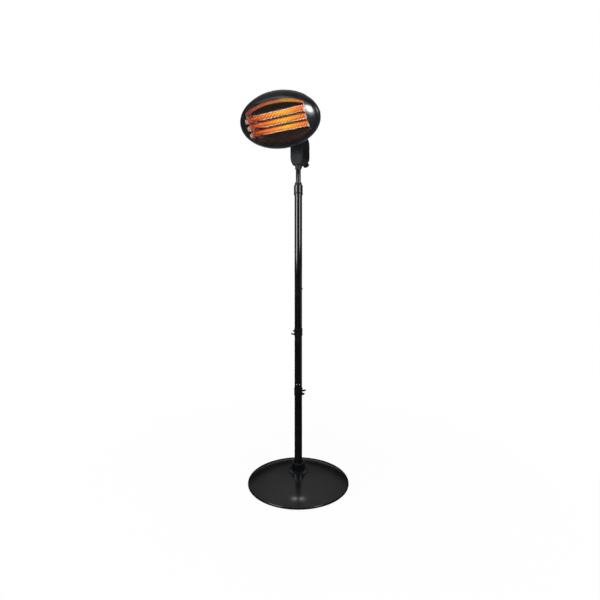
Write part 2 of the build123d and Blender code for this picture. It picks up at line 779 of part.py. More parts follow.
lid_well_y = BOX_FRONT + LID_SCREW_WELL
with BuildPart() as control_cover:
    add(box_outer.part)
    with BuildSketch(Plane.XZ.offset(-lid_back)):
        Rectangle(4 * BOX_W, 4 * BOX_TOP_Z)
    extrude(amount=-BOX_BACK * 2, mode=Mode.SUBTRACT)
    front_face = control_cover.faces().sort_by(Axis.Y)[0]
    chamfer(front_face.edges(), LID_EDGE)
    with BuildPart(mode=Mode.PRIVATE) as lid_hollow:
        add(box_inner.part)
        with BuildSketch(Plane.XZ.offset(-BOX_FRONT - BOX_WALL)):
            Rectangle(4 * BOX_W, 4 * BOX_TOP_Z)
        extrude(amount=10 * BOX_WALL, mode=Mode.SUBTRACT)
    add(lid_hollow.part, mode=Mode.SUBTRACT)
    with BuildSketch(Plane.XZ.offset(-lid_back)):
        with Locations(*lid_screw_at):
            Circle(LID_BOSS_R)
    extrude(amount=LID_DEPTH - BOX_WALL)
    with BuildSketch(Plane.XZ.offset(-lid_back)):
        with Locations(*lid_screw_at):
            Circle(LID_SCREW_R + SNUG)
    extrude(amount=LID_DEPTH, mode=Mode.SUBTRACT)
    with BuildSketch(Plane.XZ.offset(-lid_well_y)):
        with Locations(*lid_screw_at):
            Circle(LID_SCREW_WELL_R)
    extrude(amount=LID_SCREW_WELL, mode=Mode.SUBTRACT)
    with BuildSketch(Plane.XY.offset(BOX_BOTTOM_Z - 1)):
        Circle(neck_hole)
    extrude(amount=BOX_WALL + 2, mode=Mode.SUBTRACT)
save(control_cover, "control_cover")

with BuildPart() as cover_screws:
    with BuildSketch(Plane.XZ.offset(-lid_well_y)):
        with Locations(*lid_screw_at):
            Circle(LID_SCREW_HEAD_R)
    extrude(amount=LID_SCREW_HEAD_H)
    with BuildSketch(Plane.XZ.offset(-lid_well_y)):
        with Locations(*lid_screw_at):
            Circle(LID_SCREW_R)
    extrude(amount=-LID_SCREW_LEN)
save(cover_screws, "cover_screws")

neck_top = MAST_TOP_Z + NECK_CAP
with BuildPart() as neck:
    with BuildSketch(Plane.XZ):
        with BuildLine():
            Polyline(
                (mast_hole, NECK_BOTTOM_Z),
                (NECK_R, NECK_BOTTOM_Z),
                (NECK_R, BOX_BOTTOM_Z),
                (NECK_TAIL_R, BOX_BOTTOM_Z),
                (NECK_TAIL_R, neck_top),
                (MAST_R - 2 * MAST_WALL, neck_top),
                (MAST_R - 2 * MAST_WALL, MAST_TOP_Z),
                (mast_hole, MAST_TOP_Z),
                close=True,
            )
        make_face()
    revolve(axis=Axis.Z)
    with BuildSketch(Plane.XZ.offset(NECK_BOSS_REACH)):
        with Locations((0, NECK_SCREW_Z)):
            Circle(NECK_BOSS_R)
    extrude(amount=-(NECK_BOSS_REACH - mast_hole - 1))
    with BuildSketch(Plane.XZ.offset(NECK_BOSS_REACH)):
        with Locations((0, NECK_SCREW_Z)):
            Circle(neck_hole_r)
    extrude(amount=-NECK_BOSS_REACH, mode=Mode.SUBTRACT)
save(neck, "neck")

with BuildPart() as neck_screw:
    with BuildSketch(Plane.XZ.offset(NECK_BOSS_REACH)):
        with Locations((0, NECK_SCREW_Z)):
            Circle(NECK_SCREW_HEAD_R)
    extrude(amount=NECK_SCREW_HEAD_H, taper=12)
    with BuildSketch(Plane.XZ.offset(NECK_BOSS_REACH)):
        with Locations((0, NECK_SCREW_Z)):
            Circle(NECK_SCREW_R)
    extrude(amount=-(NECK_BOSS_REACH - NECK_SCREW_TIP))
save(neck_screw, "neck_screw")

with BuildPart() as neck_nut:
    with BuildSketch(Plane.XY.offset(BOX_BOTTOM_Z + BOX_WALL)):
        Circle(NECK_NUT_R)
        Circle(NECK_TAIL_R, mode=Mode.SUBTRACT)
        with PolarLocations(NECK_NUT_R, NECK_NUT_NOTCHES, start_angle=45):
            Rectangle(NECK_NUT_NOTCH, NECK_NUT_NOTCH, mode=Mode.SUBTRACT)
    extrude(amount=NECK_NUT_H)
save(neck_nut, "neck_nut")

# ================================================================ controls
with BuildPart() as rotary_switch:
    with BuildSketch(slope_plane(KNOB_X, KNOB_ALONG, -BOX_WALL)):
        Circle(SWITCH_R)
    extrude(amount=-SWITCH_DEPTH)
    with BuildSketch(slope_plane(KNOB_X, KNOB_ALONG, -BOX_WALL)):
        Circle(SPINDLE_R + FREE)
    extrude(amount=-SPINDLE_SEAT, mode=Mode.SUBTRACT)
save(rotary_switch, "rotary_switch")

with BuildPart() as selector_spindle:
    with BuildSketch(slope_plane(KNOB_X, KNOB_ALONG, -BOX_WALL - SPINDLE_SEAT)):
        Circle(SPINDLE_R)
    extrude(amount=SPINDLE_SEAT + BOX_WALL + KNOB_GAP + SPINDLE_GRIP)
save(selector_spindle, "selector_spindle")

with BuildPart() as selector_knob:
    with BuildSketch(slope_plane(KNOB_X, KNOB_ALONG, KNOB_GAP)):
        Circle(KNOB_R)
    extrude(amount=KNOB_H)
    knob_rim = selector_knob.edges().filter_by(GeomType.CIRCLE).sort_by(Axis.Z)[0]
    fillet(knob_rim, KNOB_DOME)
    with BuildSketch(slope_plane(KNOB_X, KNOB_ALONG, KNOB_GAP)):
        Circle(SPINDLE_R)
    extrude(amount=SPINDLE_GRIP, mode=Mode.SUBTRACT)
save(selector_knob, "selector_knob")

stub_top = GLAND_HEX_H + GLAND_STUB_H
with BuildPart() as cable_gland:
    with BuildSketch(slope_plane(GLAND_X, GLAND_ALONG)):
        RegularPolygon(GLAND_HEX_ACROSS / 2, 6, major_radius=False)
    extrude(amount=GLAND_HEX_H)
    with BuildSketch(slope_plane(GLAND_X, GLAND_ALONG)):
        Circle(GLAND_STUB_R)
    extrude(amount=stub_top)
    with BuildSketch(slope_plane(GLAND_X, GLAND_ALONG)):
        Circle(GLAND_TAIL_R)
    extrude(amount=-GLAND_TAIL_LEN)
    with BuildSketch(slope_plane(GLAND_X, GLAND_ALONG, -GLAND_TAIL_LEN)):
        Circle(GLAND_BORE_R)
    extrude(amount=GLAND_TAIL_LEN + stub_top, mode=Mode.SUBTRACT)
save(cable_gland, "cable_gland")

cap_low = GLAND_HEX_H + KNOB_GAP
with BuildPart() as gland_cap:
    with BuildSketch(slope_plane(GLAND_X, GLAND_ALONG, cap_low)):
        Circle(GLAND_CAP_R)
    extrude(amount=GLAND_CAP_H)
    cap_rim = gland_cap.edges().filter_by(GeomType.CIRCLE).sort_by(Axis.Z)[0]
    fillet(cap_rim, GLAND_CAP_DOME)
    with BuildSketch(slope_plane(GLAND_X, GLAND_ALONG, cap_low)):
        Circle(GLAND_STUB_R)
    extrude(amount=stub_top - cap_low, mode=Mode.SUBTRACT)
    with BuildSketch(slope_plane(GLAND_X, GLAND_ALONG, cap_low)):
        Circle(GLAND_BORE_R)
    extrude(amount=GLAND_CAP_H, mode=Mode.SUBTRACT)
save(gland_cap, "gland_cap")

with BuildPart() as gland_nut:
    with BuildSketch(slope_plane(GLAND_X, GLAND_ALONG, -BOX_WALL)):
        RegularPolygon(GLAND_NUT_R, 6)
        Circle(GLAND_TAIL_R, mode=Mode.SUBTRACT)
    extrude(amount=-GLAND_NUT_H)
save(gland_nut, "gland_nut")

with BuildPart() as terminal_block:
    with BuildSketch(Plane.XZ.offset(-mount_y)):
        with Locations((0, TERMINAL_Z)):
            Rectangle(TERMINAL_SIZE[0], TERMINAL_SIZE[2])
    extrude(amount=TERMINAL_SIZE[1])
    with BuildSketch(Plane.XZ.offset(TERMINAL_SIZE[1] - mount_y)):
        with Locations((0, TERMINAL_Z)):
            with GridLocations(TERMINAL_PITCH, TERMINAL_PITCH, 3, 2):
                Circle(TERMINAL_HOLE_R)
    extrude(amount=-TERMINAL_SIZE[1] / 2, mode=Mode.SUBTRACT)
save(terminal_block, "terminal_block")

with BuildPart() as tip_over_switch:
    with BuildSketch(Plane.XZ.offset(-mount_y)):
        with Locations((0, TIP_SWITCH_Z)):
            Rectangle(TIP_SWITCH_SIZE[0], TIP_SWITCH_SIZE[2])
    extrude(amount=TIP_SWITCH_SIZE[1])
    chamfer(tip_over_switch.faces().sort_by(Axis.Y)[0].edges(), 1.5)
save(tip_over_switch, "tip_over_switch")

# ================================================================ tilt joint
knuckle_half = KNUCKLE_W / 2
ear_inner = knuckle_half + TILT_PLAY + FRICTION_WASHER_T
ear_outer = ear_inner + EAR_T
base_top = BOX_TOP_Z + KNUCKLE_BASE[2]
pivot = (PIVOT_Y, PIVOT_Z)


def pivot_plane(across):
    """A plane square to the pivot's axis; its sketches use world Y and Z."""
    return Plane.YZ.offset(across)


with BuildPart() as tilt_knuckle:
    with BuildSketch(Plane.XY.offset(BOX_TOP_Z)):
        with Locations((0, knuckle_y)):
            Rectangle(KNUCKLE_BASE[0], KNUCKLE_BASE[1])
    extrude(amount=KNUCKLE_BASE[2])
    with BuildSketch(pivot_plane(-knuckle_half)):
        with Locations(pivot):
            Circle(KNUCKLE_EYE_R)
        with Locations((knuckle_y, base_top)):
            Rectangle(KNUCKLE_BASE[1] - 2, 2 * KNUCKLE_BASE[2])
        make_hull()
    extrude(amount=KNUCKLE_W)
    with BuildSketch(pivot_plane(-knuckle_half)):
        with Locations(pivot):
            Circle(PIVOT_BOLT_R + SLIP)
    extrude(amount=KNUCKLE_W, mode=Mode.SUBTRACT)
    with BuildSketch(Plane.XY.offset(BOX_TOP_Z)):
        with Locations(*knuckle_screw_at):
            Circle(KNUCKLE_SCREW_R + SNUG)
    extrude(amount=KNUCKLE_BASE[2], mode=Mode.SUBTRACT)
save(tilt_knuckle, "tilt_knuckle")

box_ceiling = BOX_TOP_Z - BOX_WALL
with BuildPart() as knuckle_screws:
    with BuildSketch(Plane.XY.offset(base_top)):
        with Locations(*knuckle_screw_at):
            Circle(KNUCKLE_SCREW_HEAD_R)
    extrude(amount=KNUCKLE_SCREW_HEAD_H, taper=12)
    with BuildSketch(Plane.XY.offset(base_top)):
        with Locations(*knuckle_screw_at):
            Circle(KNUCKLE_SCREW_R)
    extrude(amount=-(base_top - box_ceiling + KNUCKLE_NUT_H + 1))
save(knuckle_screws, "knuckle_screws")

with BuildPart() as knuckle_nuts:
    with BuildSketch(Plane.XY.offset(box_ceiling - KNUCKLE_NUT_H)):
        with Locations(*knuckle_screw_at):
            RegularPolygon(BRACKET_NUT_ACROSS / 2, 6, major_radius=False)
            Circle(KNUCKLE_SCREW_R, mode=Mode.SUBTRACT)
    extrude(amount=KNUCKLE_NUT_H)
save(knuckle_nuts, "knuckle_nuts")

with BuildPart() as friction_washers:
    for washer_low in (ear_inner - FRICTION_WASHER_T, -ear_inner):
        with BuildSketch(pivot_plane(washer_low)):
            with Locations(pivot):
                Circle(FRICTION_WASHER_R)
                Circle(PIVOT_BOLT_R + SLIP, mode=Mode.SUBTRACT)
        extrude(amount=FRICTION_WASHER_T)
save(friction_washers, "friction_washers")

bolt_tip = ear_outer + PIVOT_NUT_H + 2
with BuildPart() as pivot_bolt:
    with BuildSketch(pivot_plane(-ear_outer)):
        with Locations(pivot):
            Circle(PIVOT_BOLT_R)
    extrude(amount=ear_outer + bolt_tip)
    with BuildSketch(pivot_plane(-ear_outer)):
        with Locations(pivot):
            RegularPolygon(PIVOT_HEAD_R, 6)
    extrude(amount=-PIVOT_HEAD_H)
save(pivot_bolt, "pivot_bolt")

with BuildPart() as pivot_nut:
    with BuildSketch(pivot_plane(ear_outer)):
        with Locations(pivot):
            RegularPolygon(PIVOT_HEAD_R, 6)
            Circle(PIVOT_BOLT_R, mode=Mode.SUBTRACT)
    extrude(amount=PIVOT_NUT_H)
save(pivot_nut, "pivot_nut")

plate_back = PAD_BACK - EAR_T
bracket_bolt_at = [
    (side * BRACKET_BOLT_U, PAD_V + row * BRACKET_BOLT_V) for side in (-1, 1) for row in (-1, 1)
]
side_plane = Plane(
    origin=head_plane.origin, x_dir=head_plane.y_dir, z_dir=head_plane.x_dir
)
pivot_in_head = side_plane.to_local_coords(Vector(0, *pivot))
pivot_vn = (pivot_in_head.X, pivot_in_head.Y)
with BuildPart() as tilt_bracket:
    with BuildSketch(head_plane.offset(plate_back)):
        with Locations((0, PAD_V)):
            RectangleRounded(PAD_SIZE[0] - 4, PAD_SIZE[1] - 4, 4)
        with Locations(*bracket_bolt_at):
            Circle(BRACKET_BOLT_R + SNUG, mode=Mode.SUBTRACT)
    extrude(amount=EAR_T)
    for ear_low in (-ear_outer, ear_inner):
        with BuildSketch(side_plane.offset(ear_low)):
            with Locations(pivot_vn):
                Circle(KNUCKLE_EYE_R)
            with Locations((PAD_V, PAD_BACK - EAR_T / 2)):
                Rectangle(PAD_SIZE[1] - 8, EAR_T)
            make_hull()
            with Locations(pivot_vn):
                Circle(PIVOT_BOLT_R + SLIP, mode=Mode.SUBTRACT)
        extrude(amount=EAR_T)
save(tilt_bracket, "tilt_bracket")

# ================================================================ head
inner_a = HEAD_A - BEZEL_T
inner_b = HEAD_B - BEZEL_T
shell_a = inner_a - FREE
shell_b = inner_b - FREE


def opening_prism(margin, low, high):
    """A prism on the opening's outline, grown by a margin, between two heights."""
    with BuildPart() as prism:
        with BuildSketch(head_plane.offset(low)) as outline:
            with Locations((0, OPENING_V)):
                Ellipse(OPENING_A + margin, OPENING_B + margin)
                Rectangle(OPENING_W + 2 * margin, 4 * OPENING_B, mode=Mode.INTERSECT)
            fillet(outline.vertices(), OPENING_CORNER + margin)
        extrude(amount=high - low)
    return prism


def rim_rod(angle, radius, low, high):
    """A rod square to the band of the bezel, for the rim screws."""
    turn = radians(angle)
    out = Vector(cos(turn) / HEAD_A, sin(turn) / HEAD_B, 0).normalized()
    spot = Vector(HEAD_A * cos(turn), HEAD_B * sin(turn), -BAND_DEPTH / 2)
    flat = Plane(
        origin=head_plane.from_local_coords(spot + out * low),
        x_dir=head_plane.z_dir,
        z_dir=head_plane.from_local_coords(spot + out) - head_plane.from_local_coords(spot),
    )
    with BuildPart() as rod:
        with BuildSketch(flat):
            Circle(radius)
        extrude(amount=high - low)
    return rod


dome_outer = half_ellipsoid(HEAD_A, HEAD_B, DOME_H, True)
dome_inner = half_ellipsoid(inner_a, inner_b, DOME_H - BEZEL_T, True)
with BuildPart() as lip:
    add(opening_prism(LIP_T, LIP_BACK, DOME_H).part)
    add(dome_outer, mode=Mode.INTERSECT)

with BuildPart() as bezel_core:
    add(dome_inner)
    with BuildSketch(head_plane):
        Ellipse(inner_a, inner_b)
    extrude(amount=-BAND_DEPTH)

with BuildPart() as bezel:
    add(dome_outer)
    with BuildSketch(head_plane):
        Ellipse(HEAD_A, HEAD_B)
    extrude(amount=-BAND_DEPTH)
    add(bezel_core.part, mode=Mode.SUBTRACT)
    add(lip.part)
    add(opening_prism(0, 0, DOME_H).part, mode=Mode.SUBTRACT)
    for angle in RIM_SCREW_ANGLES:
        add(rim_rod(angle, RIM_SCREW_R + SNUG, -10, 5).part, mode=Mode.SUBTRACT)
save(bezel, "bezel")

with BuildPart() as rim_screws:
    for angle in RIM_SCREW_ANGLES:
        add(rim_rod(angle, RIM_SCREW_R, -8, 0).part)
        add(rim_rod(angle, RIM_SCREW_HEAD_R, 0, RIM_SCREW_HEAD_H).part)
save(rim_screws, "rim_screws")

# Raised hoods along the top edge, with slots under them that let the heat out.
hood_outer = half_ellipsoid(HEAD_A + HOOD_LIFT, HEAD_B + HOOD_LIFT, HOOD_DEPTH, False)
shell_outer = half_ellipsoid(shell_a, shell_b, SHELL_DEPTH, False)
shell_inner = half_ellipsoid(shell_a - SHELL_T, shell_b - SHELL_T, SHELL_DEPTH - SHELL_T, False)
hood_spans = [(HOOD_GAP / 2, HOOD_SPLIT - HOOD_GAP / 2), (HOOD_SPLIT + HOOD_GAP / 2, HOOD_EDGE)]
with BuildPart() as hoods:
    with BuildSketch(head_plane.offset(HOOD_FRONT)):
        for side in (-1, 1):
            for near, far in hood_spans:
                with Locations((side * (near + far) / 2, HEAD_B)):
                    Rectangle(far - near, HEAD_B)
    extrude(amount=-HOOD_DEPTH)
    add(hood_outer, mode=Mode.INTERSECT)

with BuildPart() as vents:
    with BuildSketch(head_plane):
        for side in (-1, 1):
            for row in VENT_ROWS:
                with Locations((side * (VENT_INNER + VENT_LENGTH / 2), row)):
                    SlotOverall(VENT_LENGTH, VENT_H)
    extrude(amount=-SHELL_DEPTH)
    with BuildSketch(head_plane.offset(HOOD_SLOT_N + HOOD_SLOT[1] / 2)):
        for side in (-1, 1):
            for near, far in hood_spans:
                with Locations((side * (near + far) / 2, HEAD_B)):
                    with GridLocations(HOOD_SLOT_PITCH, 1, HOOD_SLOTS, 1):
                        Rectangle(HOOD_SLOT[0], HEAD_B * 1.2)
    extrude(amount=-HOOD_SLOT[1])

with BuildPart() as rear_shell:
    add(shell_outer)
    add(hoods.part)
    add(shell_inner, mode=Mode.SUBTRACT)
    add(vents.part, mode=Mode.SUBTRACT)
    with BuildSketch(head_plane.offset(PAD_FRONT)):
        with Locations((0, PAD_V)):
            RectangleRounded(PAD_SIZE[0], PAD_SIZE[1], 5)
    extrude(amount=PAD_BACK - PAD_FRONT)
    with BuildSketch(head_plane.offset(PAD_BACK)):
        Rectangle(HEAD_B, HEAD_B)
    extrude(amount=-BEZEL_T, mode=Mode.SUBTRACT)
    with BuildSketch(head_plane.offset(PAD_BACK)):
        with Locations(*bracket_bolt_at):
            Circle(BRACKET_BOLT_R + SNUG)
    extrude(amount=PAD_FRONT - PAD_BACK, mode=Mode.SUBTRACT)
    for angle in RIM_SCREW_ANGLES:
        add(rim_rod(angle, RIM_SCREW_R + SNUG, -10, 5).part, mode=Mode.SUBTRACT)
save(rear_shell, "rear_shell")

# ================================================================ grille
# Vertical wires laid over the cross wires, all welded to a flat ring. They stop at the
# end plates, whose tabs stand up beside the last ones.
wires_each_side = int((TUBE_END - WIRE_R) / WIRE_PITCH)
wire_n = GRILLE_BACK + FRAME_T / 2
cross_wire_n = wire_n - WIRE_R - CROSS_WIRE_R + WELD_DEPTH
wire_plane = Plane(
    origin=head_plane.origin, x_dir=head_plane.x_dir, z_dir=-head_plane.y_dir
)
wire_field = opening_prism(FRAME_W / 2, 0, DOME_H)
with BuildPart() as grille_wires:
    with BuildSketch(wire_plane):
        with Locations((0, wire_n)):
            with GridLocations(WIRE_PITCH, 1, 2 * wires_each_side + 1, 1):
                Circle(WIRE_R)
    extrude(amount=HEAD_B, both=True)
    with BuildSketch(side_plane):
        with Locations(*[(row, cross_wire_n) for row in CROSS_WIRE_V]):
            Circle(CROSS_WIRE_R)
    extrude(amount=HEAD_A, both=True)
    add(wire_field.part, mode=Mode.INTERSECT)

# The ring's corners are cut back where they would meet the bezel's dome.
grille_room = half_ellipsoid(inner_a - SNUG, inner_b - SNUG, DOME_H - BEZEL_T - SNUG, True)
with BuildPart() as grille:
    add(opening_prism(FRAME_W, GRILLE_BACK, GRILLE_BACK + FRAME_T).part)
    add(grille_room, mode=Mode.INTERSECT)
    add(opening_prism(0, 0, DOME_H).part, mode=Mode.SUBTRACT)
    add(grille_wires.part)
save(grille, "grille")

# ================================================================ reflector
def pan_form(grow, low):
    """A tapered oval block: the pan's inside when grow is zero, else its outside."""
    with BuildPart() as form:
        with BuildSketch(head_plane.offset(low)):
            with Locations((0, OPENING_V)):
                Ellipse(PAN_FLOOR_A + grow, PAN_FLOOR_B + grow)
        with BuildSketch(head_plane.offset(PAN_TOP_N)):
            with Locations((0, OPENING_V)):
                Ellipse(PAN_TOP_A + grow, PAN_TOP_B + grow)
        loft()
    return form


def bay_form(radius):
    """Three round-bottomed channels, one round each tube."""
    with BuildPart() as form:
        with BuildSketch(side_plane):
            for row in TUBE_V:
                with Locations((row, BAY_N)):
                    Circle(radius)
                with Locations((row, BAY_N / 2)):
                    Rectangle(2 * radius, -BAY_N)
        extrude(amount=TUBE_END, both=True)
    return form


pan_floor_back = PAN_FLOOR_N - SHEET_T
bay_outer_r = BAY_R + SHEET_T
pan_inside = pan_form(0, PAN_FLOOR_N)
bay_outside = bay_form(bay_outer_r)
with BuildPart() as reflector_pan:
    with BuildSketch(side_plane):
        Rectangle(2 * HEAD_B, 2 * HEAD_B)
    extrude(amount=TUBE_END, both=True)
    add(pan_form(SHEET_T, pan_floor_back).part, mode=Mode.INTERSECT)
    add(pan_inside.part, mode=Mode.SUBTRACT)
    add(bay_outside.part, mode=Mode.SUBTRACT)
lower_half, upper_half = reflector_pan.solids().sort_by(Axis.Z)
lower_apron = keep_one(lower_half)
save(lower_apron, "lower_apron")
upper_apron = keep_one(upper_half)
save(upper_apron, "upper_apron")

bay_edges = (TUBE_V[0] + BAY_R, TUBE_V[-1] - BAY_R)
with BuildPart() as bay_lips:
    with BuildSketch(side_plane):
        for edge, side in zip(bay_edges, (1, -1)):
            with Locations((edge + side * (SHEET_T + LIP_W) / 2, PAN_FLOOR_N + SHEET_T / 2)):
                Rectangle(SHEET_T + LIP_W, SHEET_T)
    extrude(amount=TUBE_END, both=True)
    add(pan_inside.part, mode=Mode.INTERSECT)

with BuildPart() as tube_reflector:
    add(bay_outside.part)
    add(bay_form(BAY_R).part, mode=Mode.SUBTRACT)
    add(pan_inside.part, mode=Mode.SUBTRACT)
    add(bay_lips.part)
save(tube_reflector, "tube_reflector")


def pan_half_height(half_length, half_height):
    """Half the oval's height where the end plates stand."""
    return half_height * sqrt(1 - (TUBE_END / half_length) ** 2)


floor_half = pan_half_height(PAN_FLOOR_A + SHEET_T, PAN_FLOOR_B + SHEET_T)
rim_half = pan_half_height(PAN_TOP_A + SHEET_T, PAN_TOP_B + SHEET_T)
plate_share = (PLATE_N - pan_floor_back) / (PAN_TOP_N - pan_floor_back)
plate_half = floor_half + (rim_half - floor_half) * plate_share
tube_at = [(row, TUBE_N) for row in TUBE_V]
with BuildSketch(Plane.XY) as plate_outline:
    with BuildLine():
        Polyline(
            (OPENING_V - plate_half, PLATE_N),
            (OPENING_V + plate_half, PLATE_N),
            (OPENING_V + floor_half, pan_floor_back),
            (OPENING_V - floor_half, pan_floor_back),
            close=True,
        )
    make_face()
    for row in TUBE_V:
        with Locations((row, BAY_N)):
            Circle(bay_outer_r)
        with Locations((row, TAB_N / 2)):
            Rectangle(TAB_W, TAB_N)
    fillet(plate_outline.vertices().group_by(Axis.Y)[-1], TAB_CORNER)

# Each end plate has a tab before every tube, with its front edge folded outwards.
with BuildPart() as reflector_ends:
    for side in (-1, 1):
        with BuildSketch(side_plane.offset(side * TUBE_END)):
            add(plate_outline.sketch)
            with Locations(*tube_at):
                Circle(CAP_R + SNUG, mode=Mode.SUBTRACT)
        extrude(amount=side * SHEET_T)
        with BuildSketch(side_plane.offset(side * TUBE_END)):
            with Locations(*[(row, TAB_N - SHEET_T / 2) for row in TUBE_V]):
                Rectangle(TAB_W - 2 * TAB_CORNER, SHEET_T)
        extrude(amount=side * (SHEET_T + TAB_FLANGE))
save(reflector_ends, "reflector_ends")

# ================================================================ tubes
with BuildPart() as ceramic_holders:
    for side in (-1, 1):
        with BuildSketch(side_plane.offset(side * CAP_INNER)):
            with Locations(*tube_at):
                Circle(CAP_R)
        extrude(amount=side * (CAP_OUTER - CAP_INNER))
        with BuildSketch(side_plane.offset(side * CAP_INNER)):
            with Locations(*tube_at):
                Circle(TUBE_R + SNUG)
        extrude(amount=side * (TUBE_END - CAP_INNER), mode=Mode.SUBTRACT)
        with BuildSketch(side_plane.offset(side * CAP_INNER)):
            with Locations(*tube_at):
                Circle(PIN_R + SNUG)
        extrude(amount=side * (CAP_OUTER - CAP_INNER), mode=Mode.SUBTRACT)
save(ceramic_holders, "ceramic_holders")

with BuildPart() as quartz_tubes:
    with BuildSketch(side_plane):
        with Locations(*tube_at):
            Circle(TUBE_R)
            Circle(TUBE_BORE_R, mode=Mode.SUBTRACT)
    extrude(amount=TUBE_END, both=True)
save(quartz_tubes, "quartz_tubes")

with BuildPart() as heating_coils:
    with BuildSketch(side_plane):
        with Locations(*tube_at):
            Circle(COIL_R)
    extrude(amount=TUBE_END, both=True)
save(heating_coils, "heating_coils")

with BuildPart() as terminal_pins:
    for side in (-1, 1):
        with BuildSketch(side_plane.offset(side * TUBE_END)):
            with Locations(*tube_at):
                Circle(PIN_R)
        extrude(amount=side * (PIN_OUTER - TUBE_END))
save(terminal_pins, "terminal_pins")

# ================================================================ chassis in the head
chassis_front = BAY_N - bay_outer_r
chassis_back = chassis_front - CHASSIS_T
foot_front = PAD_FRONT + CHASSIS_T
leg_height = PAD_SIZE[1] - 12
with BuildPart() as head_chassis:
    with BuildSketch(head_plane.offset(chassis_back)):
        with Locations((0, CHASSIS_V)):
            RectangleRounded(CHASSIS_W, CHASSIS_H, 5)
    extrude(amount=CHASSIS_T)
    with BuildSketch(head_plane.offset(chassis_back)):
        for side in (-1, 1):
            with Locations((side * (CHASSIS_LEG_U - CHASSIS_T / 2), PAD_V)):
                Rectangle(CHASSIS_T, leg_height)
    extrude(amount=PAD_FRONT - chassis_back)
    with BuildSketch(head_plane.offset(foot_front)):
        for side in (-1, 1):
            with Locations((side * (CHASSIS_LEG_U - CHASSIS_FOOT_W / 2), PAD_V)):
                Rectangle(CHASSIS_FOOT_W, leg_height)
        with Locations(*bracket_bolt_at):
            Circle(BRACKET_BOLT_R + SNUG, mode=Mode.SUBTRACT)
    extrude(amount=-CHASSIS_T)
save(head_chassis, "head_chassis")

with BuildPart() as thermal_cutout:
    with BuildSketch(head_plane.offset(chassis_back)):
        with Locations((CUTOUT_U, CUTOUT_V)):
            Circle(CUTOUT_R)
    extrude(amount=-CUTOUT_H)
save(thermal_cutout, "thermal_cutout")

with BuildPart() as bracket_bolts:
    with BuildSketch(head_plane.offset(plate_back)):
        with Locations(*bracket_bolt_at):
            Circle(BRACKET_HEAD_R)
    extrude(amount=-BRACKET_HEAD_H, taper=12)
    with BuildSketch(head_plane.offset(plate_back)):
        with Locations(*bracket_bolt_at):
            Circle(BRACKET_BOLT_R)
    extrude(amount=foot_front + BRACKET_NUT_H + 1 - plate_back)
save(bracket_bolts, "bracket_bolts")

with BuildPart() as bracket_nuts:
    with BuildSketch(head_plane.offset(foot_front)):
        with Locations(*bracket_bolt_at):
            RegularPolygon(BRACKET_NUT_ACROSS / 2, 6, major_radius=False)
            Circle(BRACKET_BOLT_R, mode=Mode.SUBTRACT)
    extrude(amount=BRACKET_NUT_H)
save(bracket_nuts, "bracket_nuts")
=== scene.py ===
"""Finishes for a packed infrared patio heater: gloss enamel, powder coat, moulded plastic,
bright reflector sheet and glowing quartz tubes, with a plain studio round it.

Metres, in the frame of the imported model: the pole on +Z, the floor at z = 0, the head to -Y.
"""

import math

import bmesh
import bpy
import numpy as np
from bpy.props import FloatProperty, FloatVectorProperty, IntProperty, PointerProperty
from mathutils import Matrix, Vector


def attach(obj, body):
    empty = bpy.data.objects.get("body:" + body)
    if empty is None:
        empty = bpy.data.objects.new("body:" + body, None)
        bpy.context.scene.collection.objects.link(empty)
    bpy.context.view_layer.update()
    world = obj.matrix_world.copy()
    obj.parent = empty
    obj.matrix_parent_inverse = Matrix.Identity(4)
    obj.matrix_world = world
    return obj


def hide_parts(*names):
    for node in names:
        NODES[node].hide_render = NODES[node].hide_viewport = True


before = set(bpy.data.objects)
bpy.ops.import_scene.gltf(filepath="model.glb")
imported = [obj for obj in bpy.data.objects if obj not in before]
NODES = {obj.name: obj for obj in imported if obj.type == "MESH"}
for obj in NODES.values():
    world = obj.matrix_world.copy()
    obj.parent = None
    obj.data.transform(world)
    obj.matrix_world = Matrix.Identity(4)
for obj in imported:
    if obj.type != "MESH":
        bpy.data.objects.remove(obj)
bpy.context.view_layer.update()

bl_info = {
    "name": "Patio heater finishes",
    "version": (1, 0, 0),
    "blender": (4, 5, 0),
    "location": "View3D > Sidebar > Heater",
    "description": "Dresses a packed infrared patio heater and sets its studio",
    "category": "Object",
}

MM = 0.001
TURN = 2 * math.pi

# Head frame, as in the solids: its centre lies in the rim's plane. u runs along +X, v up the
# rim's plane, and n straight out of the head, which tilts below level.
HEAD_CENTRE = np.array([0.0, -0.1785, 1.754])
HEAD_TILT = math.radians(34.7)
HEAD_U = np.array([1.0, 0.0, 0.0])
HEAD_V = np.array([0.0, -math.sin(HEAD_TILT), math.cos(HEAD_TILT)])
HEAD_N = np.array([0.0, -math.cos(HEAD_TILT), -math.sin(HEAD_TILT)])

# Reflector pan, in the head frame: an oval rim, a flat floor and the end plates' places.
PAN_RIM_A = 0.202  # the rim's half axes along u and v
PAN_RIM_B = 0.110
PAN_V = 0.0025  # the rim's middle
PAN_RIM_N = 0.0124
PAN_FLOOR_N = -0.016
PAN_HALF = 0.158
BAY_EDGE_V = 0.0474  # upper edge of the top bay, where the upper sheet ends

# Upper sheet's bend, in millimetres: the shelf behind the bezel's edge and the sloped wall's run,
# in the sheet's middle, and how they change towards its ends.
SHELF_RUN = 10.0
SHELF_END_LOSS = 8.0
WALL_RUN = 28.0
WALL_SLACK = 6.0
WALL_END_LOSS = 5.5

# Grille, in the head frame: the opening's half axes and the vertical wires.
OPENING_A = 0.206
OPENING_B = 0.101
WIRE_N = 0.0141
WIRE_SIDE = 19  # wires to each side of the middle one
WIRE_PITCH = 0.008
# Swells of the coating along a wire: share of its radius, length, and phase from wire to wire.
COAT_SWELLS = ((0.03, 9 * MM, 2.1), (0.02, 4 * MM, 5.3))

